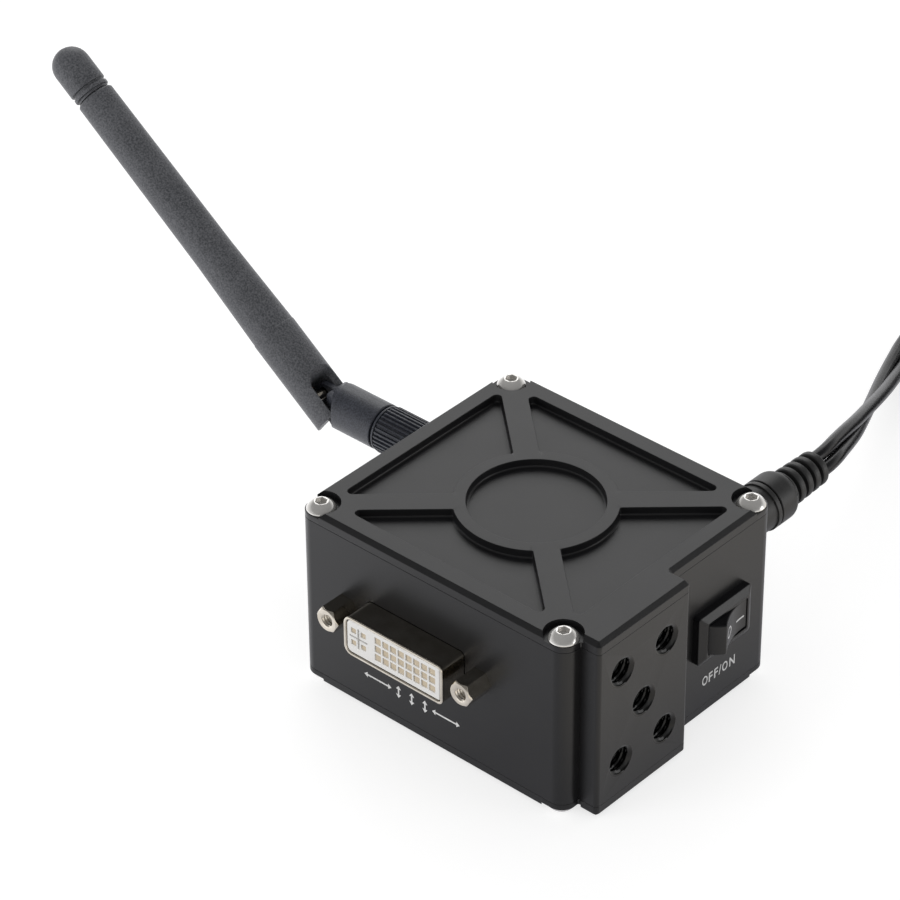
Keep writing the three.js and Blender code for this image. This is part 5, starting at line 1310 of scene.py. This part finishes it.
# %% The supply plug
SUPPLY_GAP, SUPPLY_RELIEF = 0.3, 10.0
SUPPLY_NECK, SUPPLY_RADIUS, SUPPLY_BACK_END, SUPPLY_SHOULDER = 4.4, 5.0, 9.4, 11.8
SUPPLY_END, BARREL_HOLD, BARREL_FLOOR = 32.0, 3.05, 28.7
GRIPS, GRIP_START, GRIP_PITCH, GRIP_DEPTH, GRIP_ROUND = 4, 14.5, 1.9, 0.4, 0.18
GROOVE_PROFILE = ((0, 0), (GRIP_DEPTH, 0.3), (GRIP_DEPTH, 0.9), (0, 1.2))
SUPPLY_WIDE, SUPPLY_NARROW, RELIEF_INSIDE, RELIEF_PAST = 4.0, 3.4, 0.9, 0.2
plug_origin = lead_line[-1] - (0, SUPPLY_GAP, 0)
SUPPLY = Side(plug_origin, (1, 0, 0), (0, 0, 1), (0, -1, 0))
SUPPLY_BACK = Side(plug_origin - (0, SUPPLY_RELIEF, 0), (-1, 0, 0), (0, 0, 1), (0, 1, 0))
grooves = [(SUPPLY_RADIUS - depth, GRIP_START + GRIP_PITCH * groove + reach, GRIP_ROUND)
           for groove in range(GRIPS) for depth, reach in GROOVE_PROFILE]
supply = Shape(SUPPLY)
supply.grid(spun(soft(
    (0, SUPPLY_BACK_END), (SUPPLY_NECK, SUPPLY_BACK_END, 0.3), (SUPPLY_RADIUS, SUPPLY_SHOULDER, 0.9),
    *grooves, (SUPPLY_RADIUS, SUPPLY_END, 0.7), (BARREL_HOLD, SUPPLY_END, 0.1),
    (BARREL_HOLD, BARREL_FLOOR), (0, BARREL_FLOOR)), PLUG_COUNT))
supply.join(slotted_relief(SUPPLY_BACK, -RELIEF_INSIDE, SUPPLY_RELIEF + RELIEF_PAST, SUPPLY_WIDE,
                           SUPPLY_NARROW))
supply = supply.make("supply_plug_moulding", "root", plug_rubber, "lead_black", "supply_plug_body")

# %% [markdown]
# The box stands on a white table, in the even light of a white studio. The table is a little less than white
# to the light that falls on it, so that it keeps a soft shadow, and it adds its own white to what the camera
# sees, so that the picture's ground is as bright as paper. Only in mirrors is its glow painted brighter to
# the left, dimmer in the middle and warmer to the right: a painted reflection on the box's walls.

# %% The table
TABLE_SIZE, FIELD = 6.0, 0.16
PAPER, PAPER_ROUGH, GLOW = 0.5, 0.9, 0.7
# The spans and colours below paint a reflection on the box's walls: they are the table as only mirrors see
# it.
PAINTED_LEFT_SPAN, PAINTED_RIGHT_SPAN = (0.0, 0.56), (0.71, 0.9)
LEFT_PAINTED_REFLECTION, MIDDLE_PAINTED_REFLECTION, RIGHT_PAINTED_REFLECTION = (1.4, 1.4, 1.44), (0.53, 0.53, 0.57), (1.08, 1.01, 0.92)


def seen(network, *kinds):
    """1 for the named kinds of ray, and 0 for the others."""
    rays = [network.node("ShaderNodeLightPath", output=f"Is {kind} Ray") for kind in kinds]
    return rays[0].larger(rays[1]) if len(rays) > 1 else rays[0]


scene.view_settings.view_transform = "Standard"
ground = bpy.data.meshes.new("table")
half = TABLE_SIZE / 2
ground.from_pydata([(sx * half, sy * half, GROUND * MM) for sx, sy in CORNERS], [], [(0, 1, 2, 3)])
table = bpy.data.objects.new("table", ground)
scene.collection.objects.link(table)
paper = Finish("table_white", Base_Color=grey(PAPER), Roughness=PAPER_ROUGH, Specular_IOR_Level=0.0)
across = paper.node("ShaderNodeSeparateXYZ", {}, {0: paper.place}, output="X") * (1 / FIELD) + 0.5
# What mirrors see of the table is a painted reflection: brighter to the left, dimmer in the middle, warmer to
# the right.
left = paper.blend(paper.ramp(across, *PAINTED_LEFT_SPAN), LEFT_PAINTED_REFLECTION, MIDDLE_PAINTED_REFLECTION)
mirrored = paper.blend(paper.ramp(across, *PAINTED_RIGHT_SPAN), left, RIGHT_PAINTED_REFLECTION)
paper.set("Emission_Color", paper.blend(seen(paper, "Camera"), mirrored, grey(1.0)))
paper.set("Emission_Strength", seen(paper, "Camera", "Glossy").larger(seen(paper, "Transmission")) * GLOW)
ground.materials.append(paper.material)
print("table, metres across:", TABLE_SIZE)

# %% The studio's light
AMBIENT, BACKDROP, DARK_ROOM = 0.55, 1.0, 0.22
SWEEP_LOW, SWEEP_HIGH = 0.1, 0.5
scene.world = bpy.data.worlds.new("studio")
studio = Network(scene.world)
sky = studio.tree.nodes["Background"]
direction = studio.node("ShaderNodeTexCoord", output="Generated")
up = studio.node("ShaderNodeSeparateXYZ", {}, {0: direction}, output="Z")
dark = studio.node("ShaderNodeMapRange", {}, {"Value": up, "From Min": SWEEP_LOW, "From Max": SWEEP_HIGH})
mirrored = dark * (DARK_ROOM - BACKDROP) + (BACKDROP - AMBIENT)
added = seen(studio, "Camera") * (BACKDROP - AMBIENT) + seen(studio, "Glossy", "Transmission") * mirrored
studio.join(sky.inputs["Strength"], added + AMBIENT)
studio.join(sky.inputs["Color"], grey(1.0))


def lamp(name, place, size, power):
    """A square soft lamp that faces the box. Place and size are in metres, power in watts."""
    light = bpy.data.lights.new(name, "AREA")
    light.shape, light.size, light.energy = "SQUARE", size, power
    made = bpy.data.objects.new(name, light)
    made.location = place
    made.rotation_mode = "QUATERNION"
    made.rotation_quaternion = made.location.to_track_quat("Z", "Y")
    scene.collection.objects.link(made)
    return made


lamp("back_left", (-0.71, 0.79, 0.75), 0.9, 4.2)
lamp("front", (-0.6, -1.3, 0.35), 0.8, 8.0).visible_glossy = False
lamp("right", (1.1, 0.7, 0.25), 0.6, 2.5)
print("lamps:", len(bpy.data.lights))
